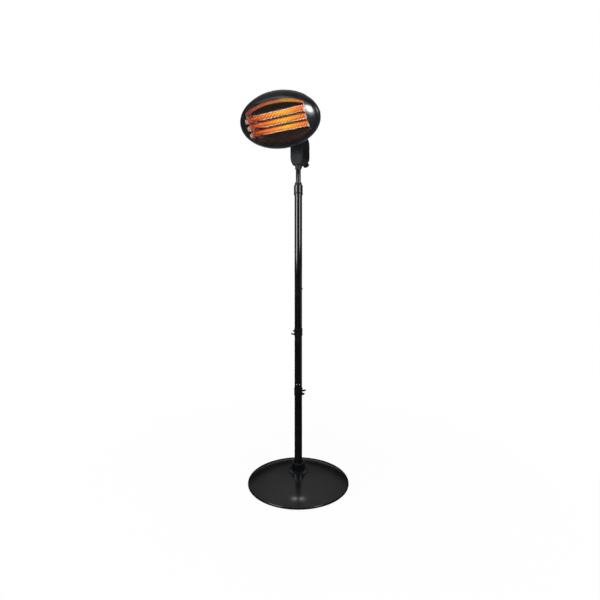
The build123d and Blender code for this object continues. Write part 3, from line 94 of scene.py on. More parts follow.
# Heating tubes, in the head frame, and the coil in each.
TUBE_V = (0.030, -0.004, -0.038)
TUBE_N = -0.020
COIL_HALF = 0.152
COIL_RADIUS = 2.1 * MM
COIL_STEPS = 12  # stations in one turn
GLOW_X = 0.02  # the hottest place
GLOW_REACH = 0.17  # from there to the coolest
COIL_GLOW = 3.4  # emission strengths
QUARTZ_GLOW = 1.6
# The holders' glow is painted light: they are no lamp.
HOLDER_GLOW = 0.8

# The switch box's sloped underside: it starts here and climbs to the rear at 45 degrees.
SLOPE_START = np.array([0.0, 0.022, 1.583])
SLOPE_OUT = np.array([0.0, math.sqrt(0.5), -math.sqrt(0.5)])
SLOPE_UP = np.array([0.0, math.sqrt(0.5), math.sqrt(0.5)])

# Selector knob on that slope.
KNOB_X = 0.018
KNOB_ALONG = 0.023
KNOB_GAP = 0.0006
KNOB_R = 0.015
KNOB_H = 0.019
KNOB_DOME = 0.006
KNOB_EDGE = 0.0008

# Studio, as shares of white. To gloss, the room pales from near the horizon to overhead, by the
# height of the direction, and the floor pales further behind the heater, by its place in y.
ROOM_LIGHT = 0.55
ROOM_HEIGHTS = (0.25, 0.9)
ROOM_GLOSS = (0.015, 0.5)
FLOOR_PLACES = (0.6, 1.6)
FLOOR_GLOSS = (0.012, 0.4)
# The camera sees this share of the floor's own white, by the distance from the pole.
PAPER_REACHES = (0.3, 1.6)
PAPER_SHARES = (0.94, 1.0)
FLOOR_EDGE = 200.0

# Camera, level: its distance from the pole, its height and its turn from the front.
CAMERA_REACH = 2.108
CAMERA_HEIGHT = 1.071
CAMERA_TURN = math.radians(31.4)


def linear(text):
    """sRGB hex to linear red, green and blue."""
    values = np.array([int(text[i : i + 2], 16) for i in (1, 3, 5)]) / 255
    low = values / 12.92
    high = ((values + 0.055) / 1.055) ** 2.4
    return tuple(float(v) for v in np.where(values <= 0.04045, low, high))


def colour(text):
    """The same with alpha 1, as a node's socket takes it."""
    return linear(text) + (1.0,)


# ------------------------------------------------------------------ settings
def colour_setting(name, description, text):
    """A colour a user can change, from its sRGB hex."""
    return FloatVectorProperty(
        name=name, description=description, default=linear(text),
        subtype="COLOR", size=3, min=0, max=1,
    )


def length_setting(name, description, value):
    """A length a user can change, in metres."""
    return FloatProperty(
        name=name, description=description, default=value, unit="LENGTH", subtype="DISTANCE"
    )


class HeaterSettings(bpy.types.PropertyGroup):
    """Colours and sizes a user would change."""

    enamel: colour_setting("Enamel", "Gloss stoved enamel on the pressed steel", "#0b0c0e")
    powder: colour_setting("Powder coat", "Powder coat on the tubes and brackets", "#08090a")
    plastic: colour_setting("Plastic", "Black plastic of the box, neck and collar", "#0b0c0d")
    sheet: colour_setting("Reflector", "Bright reflector sheet", "#dedcd8")
    glow_end: colour_setting("Glow at the ends", "Tube colour where the coil is cooler", "#bc4318")
    glow_mid: colour_setting("Glow", "Tube colour along most of its length", "#ec7420")
    glow_hot: colour_setting("Hottest glow", "Tube colour where the coil is hottest", "#ffb730")
    coil_pitch: length_setting("Coil pitch", "Distance between turns of the coil", 3.0 * MM)
    coil_wire: length_setting("Coil wire", "Diameter of the coil's wire", 0.9 * MM)
    coat_radius: length_setting("Coated wire", "Radius of a grille wire and its coat", 1.35 * MM)
    knob_flutes: IntProperty(
        name="Knob flutes", description="Grip flutes round the selector knob", default=18, min=6
    )
    flute_depth: length_setting("Flute depth", "Depth of each grip flute", 0.7 * MM)


# ------------------------------------------------------------------ nodes and materials
def add_node(tree, kind, inputs=None, **settings):
    """Adds one node: its settings, then each input from a value or from another node's output."""
    node = tree.nodes.new(kind)
    for key, value in settings.items():
        setattr(node, key, value)
    for key, value in (inputs or {}).items():
        if isinstance(value, bpy.types.NodeSocket):
            tree.links.new(value, node.inputs[key])
        else:
            node.inputs[key].default_value = value
    return node


def surface(name, tints, mottle, roughness, grain, relief, stretch=(1.0, 1.0, 1.0), **values):
    """A finish with one Principled shader, in Object coordinates.

    Its colour wanders between two tints, in patches of the mottle's size. Its roughness wanders
    between two values with the same patches. A grain of its own size stands up by the relief.
    All sizes are in metres; stretch below 1 draws the pattern out along that axis.
    Returns the material, its tree, the shader and the coordinates.
    """
    material = bpy.data.materials.new(name)
    material.use_nodes = True
    tree = material.node_tree
    shader = tree.nodes["Principled BSDF"]
    for key, value in values.items():
        shader.inputs[key.replace("_", " ")].default_value = value
    place = add_node(tree, "ShaderNodeTexCoord").outputs["Object"]
    drawn = add_node(tree, "ShaderNodeMapping", {"Vector": place, "Scale": stretch}).outputs[0]
    patches = add_node(
        tree, "ShaderNodeTexNoise", {"Vector": drawn, "Scale": 1.0 / mottle, "Detail": 3.0}
    ).outputs["Fac"]
    blend = add_node(
        tree, "ShaderNodeMapRange", {"Value": patches, "From Min": 0.3, "From Max": 0.7}
    ).outputs[0]
    tint = add_node(
        tree, "ShaderNodeMix", {0: blend, 6: tints[0], 7: tints[1]}, data_type="RGBA"
    ).outputs[2]
    tree.links.new(tint, shader.inputs["Base Color"])
    smooth, rough = roughness
    wear = add_node(
        tree, "ShaderNodeMapRange", {"Value": blend, "To Min": smooth, "To Max": rough}
    ).outputs[0]
    tree.links.new(wear, shader.inputs["Roughness"])
    skin = add_node(
        tree, "ShaderNodeTexNoise", {"Vector": drawn, "Scale": 1.0 / grain, "Detail": 1.0}
    ).outputs["Fac"]
    raised = add_node(tree, "ShaderNodeBump", {"Height": skin, "Distance": relief}).outputs[0]
    tree.links.new(raised, shader.inputs["Normal"])
    return material, tree, shader, place


def gloss_enamel(settings):
    """Stoved gloss enamel on pressed steel: deep black, mirror-like, with a faint orange peel.

    Orange peel is 1 to 3 mm from crest to crest and some microns high.
    """
    return surface(
        "Stoved gloss black enamel", ((*settings.enamel, 1), colour("#121316")),
        mottle=60 * MM, roughness=(0.13, 0.17), grain=3 * MM, relief=0.008 * MM,
    )[0]


def bezel_enamel(settings):
    """The same enamel baked again by the tubes' heat: its shine is softer than the base's."""
    return surface(
        "Heat-softened black enamel", ((*settings.enamel, 1), colour("#121316")),
        mottle=60 * MM, roughness=(0.22, 0.26), grain=3 * MM, relief=0.006 * MM,
    )[0]


def powder_coat(settings):
    """Gloss powder coat on drawn tube: smooth and black, so light draws clean lines down it."""
    return surface(
        "Gloss black powder coat", ((*settings.powder, 1), colour("#101113")),
        mottle=60 * MM, roughness=(0.1, 0.13), grain=5 * MM, relief=0.001 * MM,
    )[0]


def moulded_plastic(settings):
    """Spark-grained ABS: the fine matt grain from the mould takes most of its shine away.

    Real grain is about 0.3 mm; it is drawn coarser here to show.
    """
    return surface(
        "Spark-grained black ABS", ((*settings.plastic, 1), colour("#101113")),
        mottle=8 * MM, roughness=(0.34, 0.42), grain=1.2 * MM, relief=0.02 * MM,
        IOR=1.54, Specular_IOR_Level=0.16,
    )[0]


def polished_plastic(settings):
    """Polyamide from a polished mould: as black as the pole, with a soft shine down its length."""
    return surface(
        "Polished black polyamide", ((*settings.plastic, 1), colour("#101113")),
        mottle=12 * MM, roughness=(0.2, 0.24), grain=6 * MM, relief=0.002 * MM,
        IOR=1.53, Specular_IOR_Level=0.5,
    )[0]


def grille_coat():
    """Heat-proof black coating on welded wire: dull, and browner where the heat has aged it."""
    return surface(
        "Heat-proof black wire coating", (colour("#060606"), colour("#0f0b0a")),
        mottle=40 * MM, roughness=(0.6, 0.75), grain=1.5 * MM, relief=0.02 * MM,
        Specular_IOR_Level=0.2,
    )[0]


def rubber():
    """Moulded rubber: matt and slightly mottled, with bloom on its skin."""
    return surface(
        "Black moulded rubber", (colour("#0f0f0f"), colour("#1c1b1a")),
        mottle=5 * MM, roughness=(0.7, 0.85), grain=1.5 * MM, relief=0.05 * MM, IOR=1.52,
    )[0]


def cast_iron():
    """Grey iron casting under thin matt paint: its sandy skin shows through."""
    return surface(
        "Painted grey cast iron", (colour("#191a1b"), colour("#2a2a2a")),
        mottle=10 * MM, roughness=(0.55, 0.75), grain=2.5 * MM, relief=0.25 * MM,
    )[0]


def zinc_steel():
    """Zinc-plated steel: cool grey metal with a faint mottle from the plating bath."""
    return surface(
        "Zinc-plated steel", (colour("#a4a8ad"), colour("#c6c9cc")),
        mottle=2.5 * MM, roughness=(0.28, 0.42), grain=1 * MM, relief=0.004 * MM, Metallic=1.0,
    )[0]


def blackened_steel():
    """Black-oxide screws: dark metal that still shines a little."""
    return surface(
        "Black-oxide steel", (colour("#2a2b2d"), colour("#47494c")),
        mottle=2 * MM, roughness=(0.28, 0.4), grain=1 * MM, relief=0.004 * MM, Metallic=1.0,
    )[0]


def tint_by_depth(tree, shader, place, tint, tinted, clean):
    """Blends a tint into the base colour by the depth n in the head.

    The tint is full at the depth tinted and gone at the depth clean; n is the distance from the
    rim's plane, measured along the head's own axis.
    """
    from_rim = add_node(
        tree, "ShaderNodeVectorMath", {0: place, 1: tuple(HEAD_CENTRE)}, operation="SUBTRACT"
    ).outputs[0]
    depth = add_node(
        tree, "ShaderNodeVectorMath", {0: from_rim, 1: tuple(HEAD_N)}, operation="DOT_PRODUCT"
    ).outputs["Value"]
    blend = add_node(
        tree, "ShaderNodeMapRange", {"Value": depth, "From Min": tinted, "From Max": clean}
    ).outputs[0]
    bright = shader.inputs["Base Color"].links[0].from_socket
    mixed = add_node(
        tree, "ShaderNodeMix", {0: blend, 6: colour(tint), 7: bright}, data_type="RGBA"
    ).outputs[2]
    tree.links.new(mixed, shader.inputs["Base Color"])


def reflector_sheet(settings):
    """Bright rolled aluminium: a soft mirror, browned by heat along its foot beside the top bay,
    where the same tint also paints in the top tube's dull red glow.
    """
    material, tree, shader, place = surface(
        "Bright rolled aluminium", (colour("#dedad3"), (*settings.sheet, 1)),
        mottle=1.5 * MM, roughness=(0.14, 0.2), grain=80 * MM, relief=0.3 * MM,
        stretch=(0.3, 1.0, 1.0), Metallic=1.0,
    )
    # Painted glow with heat browning: a reddish-brown tint where the sheet lies close behind the
    # top tube.
    tint_by_depth(tree, shader, place, "#6a4636", tinted=-15.8 * MM, clean=-12 * MM)
    return material


def bay_sheet():
    """The same sheet rolled into bays: straw-coloured by heat and browned along their edges."""
    material, tree, shader, place = surface(
        "Heat-tinted rolled aluminium", (colour("#d8bfa8"), colour("#e8d6c4")),
        mottle=6 * MM, roughness=(0.1, 0.16), grain=60 * MM, relief=0.2 * MM,
        stretch=(0.3, 1.0, 1.0), Metallic=1.0,
    )
    tint_by_depth(tree, shader, place, "#5a3c2e", tinted=-16.2 * MM, clean=-20 * MM)
    return material


def lower_sheet():
    """The sheet under the tubes: a dark brown that paints in the shade under the tubes and the dim
    reddish reflection of their glow, so it mirrors only dimly.
    """
    return surface(
        # Painted shade and reflection: the dark brown stands in for shade and the tubes' dim red
        # reflection.
        "Rolled aluminium painted dark for shade and glow", (colour("#4a3831"), colour("#62504a")),
        mottle=12 * MM, roughness=(0.34, 0.42), grain=60 * MM, relief=0.2 * MM,
        stretch=(0.3, 1.0, 1.0), Metallic=1.0,
    )[0]


def end_plate_sheet():
    """The same sheet pierced and folded in a press: bright, with a satin skin."""
    return surface(
        "Folded bright aluminium", (colour("#d9d6d2"), colour("#f0eeeb")),
        mottle=6 * MM, roughness=(0.36, 0.46), grain=2 * MM, relief=0.006 * MM, Metallic=1.0,
    )[0]


def ceramic(settings):
    """Unglazed steatite: dark brown and finely speckled, with a painted glow in the tubes' end
    colour, as if lit by the tube it holds.
    """
    return surface(
        "Steatite ceramic with painted glow", (colour("#2c1c12"), colour("#3d281a")),
        mottle=1.5 * MM, roughness=(0.6, 0.75), grain=1.2 * MM, relief=0.04 * MM,
        # Painted glow: the holder emits light though it is no lamp.
        Emission_Color=(*settings.glow_end, 1), Emission_Strength=HOLDER_GLOW,
    )[0]


def electrical_plastic():
    """Moulded off-white polyamide of terminal blocks and switch bodies, slightly waxy."""
    return surface(
        "Off-white polyamide", (colour("#cfcbc0"), colour("#dedad1")),
        mottle=6 * MM, roughness=(0.4, 0.5), grain=1.5 * MM, relief=0.02 * MM, IOR=1.53,
    )[0]


def glowing(settings, name, strength):
    """Heat-lit surface: yellow-orange where the coil is hottest, dull red-orange at its ends.

    Heat falls off in a straight line with the distance in x from the hottest place, evenly to
    both sides, and three colours are spread over it.
    """
    material, tree, shader, place = surface(
        name, (colour("#3a1508"), colour("#4a1c0a")),
        mottle=20 * MM, roughness=(0.1, 0.2), grain=10 * MM, relief=0.01 * MM,
        Emission_Strength=strength,
    )
    away = add_node(
        tree, "ShaderNodeVectorMath", {0: place, 1: (-GLOW_X, 0.0, 0.0)}, operation="ADD"
    ).outputs[0]
    across = add_node(tree, "ShaderNodeSeparateXYZ", {0: away}).outputs["X"]
    distance = add_node(tree, "ShaderNodeMath", {0: across}, operation="ABSOLUTE").outputs[0]
    heat = add_node(
        tree, "ShaderNodeMapRange",
        {"Value": distance, "From Max": GLOW_REACH, "To Min": 1.0, "To Max": 0.0},
    ).outputs[0]
    scale = add_node(tree, "ShaderNodeValToRGB", {"Fac": heat})
    stops = ((0.0, settings.glow_end), (0.45, settings.glow_mid), (1.0, settings.glow_hot))
    scale.color_ramp.elements.new(0.5)
    for element, (position, value) in zip(scale.color_ramp.elements, stops):
        element.position = position
        element.color = (*value, 1)
    tree.links.new(scale.outputs["Color"], shader.inputs["Emission Color"])
    return material


def dress(material, *names):
    """Gives CAD nodes one material."""
    for name in names:
        mesh = NODES[name].data
        mesh.materials.clear()
        mesh.materials.append(material)


# ------------------------------------------------------------------ mesh from numpy
def mesh_object(name, points, faces):
    """A mesh object at the origin from a points array and an array of faces of equal length."""
    mesh = bpy.data.meshes.new(name)
    mesh.from_pydata(points.tolist(), [], faces.tolist())
    mesh.validate()
    mesh.polygons.foreach_set("use_smooth", np.ones(len(mesh.polygons), bool))
    mesh.update()
    piece = bpy.data.objects.new(name, mesh)
    bpy.context.scene.collection.objects.link(piece)
    return piece


def grid_mesh(name, points, close_columns=False):
    """A mesh object from points[..., row, column, xyz]: one quad between each four neighbours.

    close_columns joins the last column to the first. An axis before the rows counts grids that
    stay apart.
    """
    index = np.arange(points[..., 0].size).reshape(points.shape[:-1])
    if close_columns:
        index = np.concatenate([index, index[..., :1]], axis=-1)
    here, beside = index[..., :-1, :-1], index[..., :-1, 1:]
    above, across = index[..., 1:, :-1], index[..., 1:, 1:]
    quads = np.stack([here, beside, across, above], axis=-1)
    return mesh_object(name, points.reshape(-1, 3), quads.reshape(-1, 4))


def close_poles(piece):
    """Joins points that fall together where rows shrink to nothing, and turns faces outward."""
    shape = bmesh.new()
    shape.from_mesh(piece.data)
    bmesh.ops.remove_doubles(shape, verts=shape.verts, dist=0.001 * MM)
    bmesh.ops.recalc_face_normals(shape, faces=shape.faces)
    shape.to_mesh(piece.data)
    shape.free()


def thicken(piece, thickness):
    """Gives an open sheet its thickness, behind the face that shows."""
    shell = piece.modifiers.new("Sheet thickness", "SOLIDIFY")
    shell.thickness = thickness
    shell.offset = -1.0


def finish_piece(piece, material, body, slot, *replaced):
    """Gives a new piece its material and its body, and hides the nodes it stands for; the slot is
    not used.
    """
    piece.data.materials.append(material)
    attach(piece, body)
    if replaced:
        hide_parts(*replaced)


def in_head(u, v, n):
    """Head coordinates, as arrays, to the model's frame: the centre plus each along its axis."""
    return (
        HEAD_CENTRE
        + np.asarray(u)[..., None] * HEAD_U
        + np.asarray(v)[..., None] * HEAD_V
        + np.asarray(n)[..., None] * HEAD_N
    )


def coil_points(pitch, wire, row):
    """A wire wound into a helix along a tube.

    The centre line is (u, r cos t, r sin t) with u growing by one pitch a turn; the wire's round
    section is carried along it on the helix's own normal and binormal.
    """
    turns = 2 * COIL_HALF / pitch
    t = np.linspace(0, turns * TURN, int(turns * COIL_STEPS))
    u = -COIL_HALF + pitch * t / TURN
    centre_v = row + COIL_RADIUS * np.cos(t)
    centre_n = TUBE_N + COIL_RADIUS * np.sin(t)
    climb = pitch / TURN
    slant = math.hypot(COIL_RADIUS, climb)
    around = np.linspace(0, TURN, 6, endpoint=False)
    out = np.cos(around) * wire / 2
    side = np.sin(around) * wire / 2
    lean_u, lean_t = COIL_RADIUS / slant, -climb / slant
    points_u = u[:, None] + side * lean_u
    points_v = centre_v[:, None] + out * np.cos(t)[:, None] - side * lean_t * np.sin(t)[:, None]
    points_n = centre_n[:, None] + out * np.sin(t)[:, None] + side * lean_t * np.cos(t)[:, None]
    return in_head(points_u, points_v, points_n)


def knob_points(flutes, depth, columns=216, side_rows=15, dome_rows=13):
    """The selector knob, turned round the slope's normal.

    Its outline runs from the middle of the flat back, round a small edge, up the side and over a
    domed face, which is a quarter ellipse. The side's radius falls by the flutes' depth times the
    fourth power of a cosine, which fades out towards the back and the dome.
    """
    height = np.linspace(0, 1, side_rows)
    quarter = np.linspace(0, math.pi / 2, dome_rows + 1)[1:]
    back_r = np.array([0.0, 0.5, 0.85]) * KNOB_R
    edge_r = np.array([KNOB_R - KNOB_EDGE, KNOB_R - 0.3 * KNOB_EDGE])
    side_r = np.full(side_rows, KNOB_R)
    edge_out = np.array([0.0, 0.3 * KNOB_EDGE])
    side_out = KNOB_EDGE + height * (KNOB_H - KNOB_DOME - KNOB_EDGE)
    dome_out = KNOB_H - KNOB_DOME + KNOB_DOME * np.sin(quarter)
    radius = np.concatenate([back_r, edge_r, side_r, KNOB_R * np.cos(quarter)])
    out = np.concatenate([np.zeros(back_r.size), edge_out, side_out, dome_out])
    grip = np.concatenate(
        [
            np.zeros(back_r.size + edge_r.size),
            np.sin(math.pi * height) ** 0.5,
            np.zeros(dome_rows),
        ]
    )
    turn = np.linspace(0, TURN, columns, endpoint=False)
    groove = np.cos(flutes * turn / 2) ** 4
    r = radius[:, None] - depth * grip[:, None] * groove
    x = r * np.cos(turn)
    up = r * np.sin(turn)
    centre = SLOPE_START + np.array([KNOB_X, 0.0, 0.0]) + KNOB_ALONG * SLOPE_UP
    outward = KNOB_GAP + np.broadcast_to(out[:, None], r.shape)
    return (
        centre
        + x[..., None] * np.array([1.0, 0.0, 0.0])
        + up[..., None] * SLOPE_UP
        + outward[..., None] * SLOPE_OUT
    )


def upper_sheet_points(columns=97, rows=64, softness=0.1):
    """The reflector above the tubes: a bent sheet between the pan's oval rim and the top bay.

    A row of points runs inward from the rim at each u. The sheet starts with a narrow shelf behind
    the bezel's edge, falls at about 45 degrees in the middle and ends in the flat floor. Its depth
    is one soft ramp minus a second that starts where the wall ends, so both bends are round. The
    shelf's width is a parabola in u, and the wall's run a lopsided one with a small sine on it:
    the hand-bent sheet is slacker at one end.
    """
    u = np.linspace(-PAN_HALF, PAN_HALF, columns)[None, :]
    share = np.linspace(0, 1, rows)[:, None]
    rim_v = PAN_V + PAN_RIM_B * np.sqrt(1 - (u / PAN_RIM_A) ** 2)
    end = u / PAN_HALF
    wave = 1 + 0.02 * np.sin(u / (14 * MM) + 0.6)
    shelf = (SHELF_RUN - SHELF_END_LOSS * end**2) * MM
    run = (WALL_RUN + WALL_SLACK * end - WALL_END_LOSS * end**2) * MM * wave

    def fallen(distance):
        """Share of the fall at a distance inward from the rim, before it is scaled to fit."""
        way = (distance - shelf) / run
        return softness * (np.logaddexp(0, way / softness) - np.logaddexp(0, (way - 1) / softness))

    inward = share * (rim_v - BAY_EDGE_V)
    start = fallen(0.0)
    share_fallen = (fallen(inward) - start) / (fallen(rim_v - BAY_EDGE_V) - start)
    depth = (PAN_RIM_N - PAN_FLOOR_N) * share_fallen
    return in_head(np.broadcast_to(u, depth.shape), rim_v - inward, PAN_RIM_N - depth)


def wire_coat_points(radius, stations=41, around=10):
    """The baked coating on the vertical wires, one closed sleeve round each.

    A sleeve is a circle carried up the wire. Its radius swells and thins by a twentieth along two
    sines whose phase differs from wire to wire, as a dipped coat dries, and falls to nothing at
    both ends. A real coat is thinner; this one is as thick as it needs to be to show.
    """
    wire = np.arange(-WIRE_SIDE, WIRE_SIDE + 1)[:, None, None]
    share = np.concatenate([[-1.0], np.linspace(-1, 1, stations), [1.0]])[None, :, None]
    turn = np.linspace(0, TURN, around, endpoint=False)[None, None, :]
    v = share * (OPENING_B * np.sqrt(1 - (wire * WIRE_PITCH / OPENING_A) ** 2))
    swell = 1
    for amount, length, phase in COAT_SWELLS:
        swell = swell + amount * np.sin(v / length + phase * wire)
    open_end = np.concatenate([[0.0], np.ones(stations), [0.0]])[None, :, None]
    thick = radius * swell * open_end
    shape = np.broadcast_shapes(thick.shape, turn.shape)
    u = np.broadcast_to(wire * WIRE_PITCH + thick * np.cos(turn), shape)
    n = np.broadcast_to(WIRE_N + thick * np.sin(turn), shape)
    return in_head(u, np.broadcast_to(PAN_V + v, shape), n)


# ------------------------------------------------------------------ operators
class HEATER_OT_base(bpy.types.Operator):
    """Finish the round base, its weight, plug, feet, flange and socket"""

    bl_idname = "heater.base"
    bl_label = "Base"

    def execute(self, context):
        settings = context.scene.heater
        dress(gloss_enamel(settings), "base_cover", "pole_flange", "pole_socket")
        dress(cast_iron(), "base_weight", "foot_plug")
        dress(rubber(), "base_feet")
        return {"FINISHED"}


class HEATER_OT_pole(bpy.types.Operator):
    """Finish the pole, the mast, and the brackets and chassis that carry the head"""

    bl_idname = "heater.pole"
    bl_label = "Pole and mast"

    def execute(self, context):
        settings = context.scene.heater
        dress(
            powder_coat(settings),
            "lower_tube", "middle_tube", "upper_tube", "inner_tube",
            "tilt_bracket", "tilt_knuckle", "head_chassis",
        )
        return {"FINISHED"}


class HEATER_OT_mouldings(bpy.types.Operator):
    """Finish the moulded pieces: box, neck, collar, clips, gland, washers and switch bodies"""

    bl_idname = "heater.mouldings"
    bl_label = "Plastic mouldings"

    def execute(self, context):
        settings = context.scene.heater
        dress(
            moulded_plastic(settings),
            "control_box", "control_cover", "cable_gland", "gland_cap", "gland_nut",
            "friction_washers", "lower_cable_clip", "upper_cable_clip",
        )
        dress(
            polished_plastic(settings),
            "neck", "neck_nut", "lock_collar", "collar_seat", "grip_collet", "guide_bush",
        )
        dress(
            electrical_plastic(),
            "terminal_block", "tip_over_switch", "rotary_switch", "thermal_cutout",
        )
        return {"FINISHED"}


class HEATER_OT_knob(bpy.types.Operator):
    """Turn the fluted selector knob"""

    bl_idname = "heater.knob"
    bl_label = "Selector knob"

    def execute(self, context):
        settings = context.scene.heater
        points = knob_points(settings.knob_flutes, settings.flute_depth)
        knob = grid_mesh("fluted_selector_knob", points, close_columns=True)
        close_poles(knob)
        finish_piece(knob, moulded_plastic(settings), "selector", "black_plastic", "selector_knob")
        return {"FINISHED"}


class HEATER_OT_fixings(bpy.types.Operator):
    """Finish the screws, bolts, nuts, washers, pins and spindle"""

    bl_idname = "heater.fixings"
    bl_label = "Fixings"

    def execute(self, context):
        settings = context.scene.heater
        dress(
            blackened_steel(),
            "joint_screws", "neck_screw", "cover_screws", "rim_screws", "pivot_bolt", "pivot_nut",
        )
        dress(
            zinc_steel(),
            "foot_washer", "foot_bolt", "knuckle_screws", "knuckle_nuts", "bracket_bolts",
            "bracket_nuts", "terminal_pins", "selector_spindle",
        )
        return {"FINISHED"}


class HEATER_OT_reflector(bpy.types.Operator):
    """Bend the upper sheet, coat the wires, and finish the reflector, bezel and rear shell"""

    bl_idname = "heater.reflector"
    bl_label = "Reflector and grille"

    def execute(self, context):
        settings = context.scene.heater
        upper = grid_mesh("upper_reflector_sheet", upper_sheet_points())
        thicken(upper, 1.0 * MM)
        finish_piece(upper, reflector_sheet(settings), "head", "reflector_sheet", "upper_apron")
        dress(bay_sheet(), "tube_reflector")
        dress(lower_sheet(), "lower_apron")
        dress(end_plate_sheet(), "reflector_ends")
        dress(bezel_enamel(settings), "bezel", "rear_shell")
        coating = grille_coat()
        dress(coating, "grille")
        points = wire_coat_points(settings.coat_radius)
        sleeves = grid_mesh("grille_wire_coat", points, close_columns=True)
        close_poles(sleeves)
        finish_piece(sleeves, coating, "head", "black_coat")
        return {"FINISHED"}


class HEATER_OT_elements(bpy.types.Operator):
    """Wind the heating coils, light the quartz tubes and finish their holders"""

    bl_idname = "heater.elements"
    bl_label = "Heating elements"

    def execute(self, context):
        settings = context.scene.heater
        coil_glow = glowing(settings, "Glowing iron-chrome coil", COIL_GLOW)
        for number, row in enumerate(TUBE_V):
            points = coil_points(settings.coil_pitch, settings.coil_wire, row)
            coil = grid_mesh(f"wound_coil_{number + 1}", points, close_columns=True)
            finish_piece(coil, coil_glow, "head", "hot_coil", "heating_coils")
        dress(glowing(settings, "Quartz glass lit from inside", QUARTZ_GLOW), "quartz_tubes")
        dress(ceramic(settings), "ceramic_holders")
        return {"FINISHED"}


class HEATER_OT_stage(bpy.types.Operator):
    """Set the world, the pale floor, the lamps and the camera"""

    bl_idname = "heater.stage"
    bl_label = "Stage"

    def execute(self, context):
        scene = context.scene
        scene.view_settings.view_transform = "Standard"
        make_world(scene)
        make_floor()
        make_lamps()
        make_camera(scene)
        return {"FINISHED"}


def make_world(scene):
    """White to the camera and through glass; a plain level of white light on everything else.

    Gloss sees the studio's upper half: dim near the horizon and paler overhead, as the black
    enamel in the photograph shows it.
    """
    world = bpy.data.worlds.new("Studio")
    world.use_nodes = True
    tree = world.node_tree
    back = tree.nodes["Background"]
    back.inputs["Color"].default_value = colour("#ffffff")
    path = add_node(tree, "ShaderNodeLightPath")
    direction = add_node(tree, "ShaderNodeTexCoord").outputs["Generated"]
    height = add_node(tree, "ShaderNodeSeparateXYZ", {0: direction}).outputs["Z"]
    overhead = add_node(
        tree, "ShaderNodeMapRange",
        {
            "Value": height, "From Min": ROOM_HEIGHTS[0], "From Max": ROOM_HEIGHTS[1],
            "To Min": ROOM_GLOSS[0], "To Max": ROOM_GLOSS[1],
        },
    ).outputs[0]
    gloss = add_node(
        tree, "ShaderNodeMix", {0: path.outputs["Is Glossy Ray"], 2: ROOM_LIGHT, 3: overhead}
    ).outputs[0]
    seen = add_node(
        tree, "ShaderNodeMath",
        {0: path.outputs["Is Camera Ray"], 1: path.outputs["Is Transmission Ray"]},
        operation="MAXIMUM",
    ).outputs[0]
    strength = add_node(tree, "ShaderNodeMix", {0: seen, 2: gloss, 3: 1.0}).outputs[0]
    tree.links.new(strength, back.inputs["Strength"])
    scene.world = world


def make_floor():
    """A white sweep: white to the camera but for a faint shadow near the pole.

    Gloss sees it grey behind the heater and nearly black in front, where the sweep ends.
    """
    material, tree, shader, place = surface(
        "White paper floor", (colour("#eeeeee"), colour("#f4f4f4")),
        mottle=0.4, roughness=(0.85, 0.95), grain=0.1, relief=0.1 * MM, Specular_IOR_Level=0.0,
    )
    path = add_node(tree, "ShaderNodeLightPath")
    depth = add_node(tree, "ShaderNodeSeparateXYZ", {0: place}).outputs["Y"]
    behind = add_node(
        tree, "ShaderNodeMapRange",
        {
            "Value": depth, "From Min": FLOOR_PLACES[0], "From Max": FLOOR_PLACES[1],
            "To Min": FLOOR_GLOSS[0], "To Max": FLOOR_GLOSS[1],
        },
    ).outputs[0]
    strength = add_node(
        tree, "ShaderNodeMix", {0: path.outputs["Is Glossy Ray"], 2: 1.0, 3: behind}
    ).outputs[0]
    white = add_node(tree, "ShaderNodeEmission", {"Strength": strength}).outputs[0]
    direct = add_node(
        tree, "ShaderNodeMath",
        {0: path.outputs["Is Camera Ray"], 1: path.outputs["Is Transmission Ray"]},
        operation="MAXIMUM",
    ).outputs[0]
    reach = add_node(tree, "ShaderNodeVectorMath", {0: place}, operation="LENGTH").outputs["Value"]
    paper = add_node(
        tree, "ShaderNodeMapRange",
        {
            "Value": reach, "From Min": PAPER_REACHES[0], "From Max": PAPER_REACHES[1],
            "To Min": PAPER_SHARES[0], "To Max": PAPER_SHARES[1],
        },
    ).outputs[0]
    share = add_node(
        tree, "ShaderNodeMath", {0: direct, 1: paper, 2: path.outputs["Is Glossy Ray"]},
        operation="MULTIPLY_ADD", use_clamp=True,
    ).outputs[0]
    mix = add_node(tree, "ShaderNodeMixShader", {0: share, 1: shader.outputs[0], 2: white})
    tree.links.new(mix.outputs[0], tree.nodes["Material Output"].inputs["Surface"])
    edge = FLOOR_EDGE
    corners = np.array([[-edge, -edge, 0], [edge, -edge, 0], [edge, edge, 0], [-edge, edge, 0]])
    floor = mesh_object("floor", corners, np.array([[0, 1, 2, 3]]))
    floor.data.materials.append(material)


def add_lamp(name, place, target, size, power, spread=180):
    """A soft rectangular lamp at a place, facing a target; a grid narrows its spread.

    The size is its width and height in metres, the power is in watts, the spread in degrees.
    """
    data = bpy.data.lights.new(name, "AREA")
    data.shape = "RECTANGLE"
    data.size, data.size_y = size
    data.energy = power
    data.spread = math.radians(spread)
    lamp = bpy.data.objects.new(name, data)
    bpy.context.scene.collection.objects.link(lamp)
    lamp.location = place
    lamp.rotation_euler = (Vector(target) - Vector(place)).to_track_quat("-Z", "Y").to_euler()
    lamp.visible_camera = False


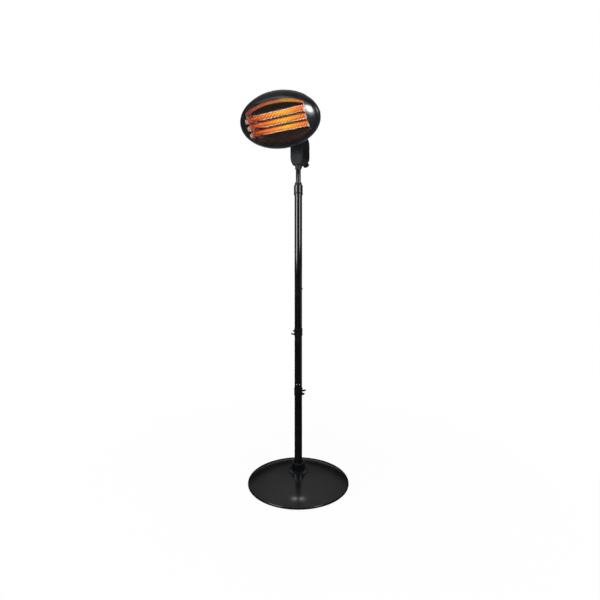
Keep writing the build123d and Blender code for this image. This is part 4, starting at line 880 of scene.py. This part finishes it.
def make_lamps():
    """One lamp for the bezel's highlight, one to each side for the lines down the pole, and a
    weak one from above for the sheen on the base."""
    add_lamp(
        "front lamp", place=(0.82, -2.36, 0.62), target=(0.19, -0.26, 1.75),
        size=(0.8, 0.75), power=5.5, spread=36,
    )
    add_lamp(
        "left strip", place=(-0.75, -1.86, 1.54), target=(0, -0.1, 1.4),
        size=(1.2, 0.82), power=28,
    )
    add_lamp(
        "right strip", place=(1.93, -0.5, 1.63), target=(0, 0, 1.45),
        size=(0.8, 0.7), power=16,
    )
    add_lamp(
        "top strip", place=(-0.36, 0.58, 2.6), target=(0.1, -0.18, 0.03),
        size=(0.5, 0.14), power=0.15, spread=60,
    )


def make_camera(scene):
    """A level camera at the photograph's viewing angle, aimed at the pole's line and shifted a
    little, as a cropped picture is."""
    data = bpy.data.cameras.new("camera")
    data.lens = 25.28
    data.sensor_width = 36
    data.shift_x = 0.0028
    data.shift_y = -0.0532
    data.clip_end = 1000
    camera = bpy.data.objects.new("camera", data)
    scene.collection.objects.link(camera)
    camera.location = (
        CAMERA_REACH * math.sin(CAMERA_TURN),
        -CAMERA_REACH * math.cos(CAMERA_TURN),
        CAMERA_HEIGHT,
    )
    camera.rotation_euler = (math.pi / 2, 0, CAMERA_TURN)
    scene.camera = camera


# ------------------------------------------------------------------ add-on
OPERATORS = (
    HEATER_OT_base,
    HEATER_OT_pole,
    HEATER_OT_mouldings,
    HEATER_OT_knob,
    HEATER_OT_fixings,
    HEATER_OT_reflector,
    HEATER_OT_elements,
    HEATER_OT_stage,
)


class HEATER_PT_panel(bpy.types.Panel):
    """Lists the heater's settings and steps in the sidebar"""

    bl_idname = "HEATER_PT_panel"
    bl_label = "Patio heater"
    bl_space_type = "VIEW_3D"
    bl_region_type = "UI"
    bl_category = "Heater"

    def draw(self, context):
        settings = context.scene.heater
        for name in settings.__annotations__:
            self.layout.prop(settings, name)
        for operator in OPERATORS:
            self.layout.operator(operator.bl_idname)


CLASSES = (HeaterSettings,) + OPERATORS + (HEATER_PT_panel,)


def register():
    """Adds the settings, the operators and the panel."""
    for item in CLASSES:
        bpy.utils.register_class(item)
    bpy.types.Scene.heater = PointerProperty(type=HeaterSettings)


def unregister():
    """Takes them out again, in reverse order."""
    del bpy.types.Scene.heater
    for item in reversed(CLASSES):
        bpy.utils.unregister_class(item)


def main():
    """Runs every step in order."""
    register()
    for operator in OPERATORS:
        group, name = operator.bl_idname.split(".")
        getattr(getattr(bpy.ops, group), name)()


if __name__ == "__main__":
    main()
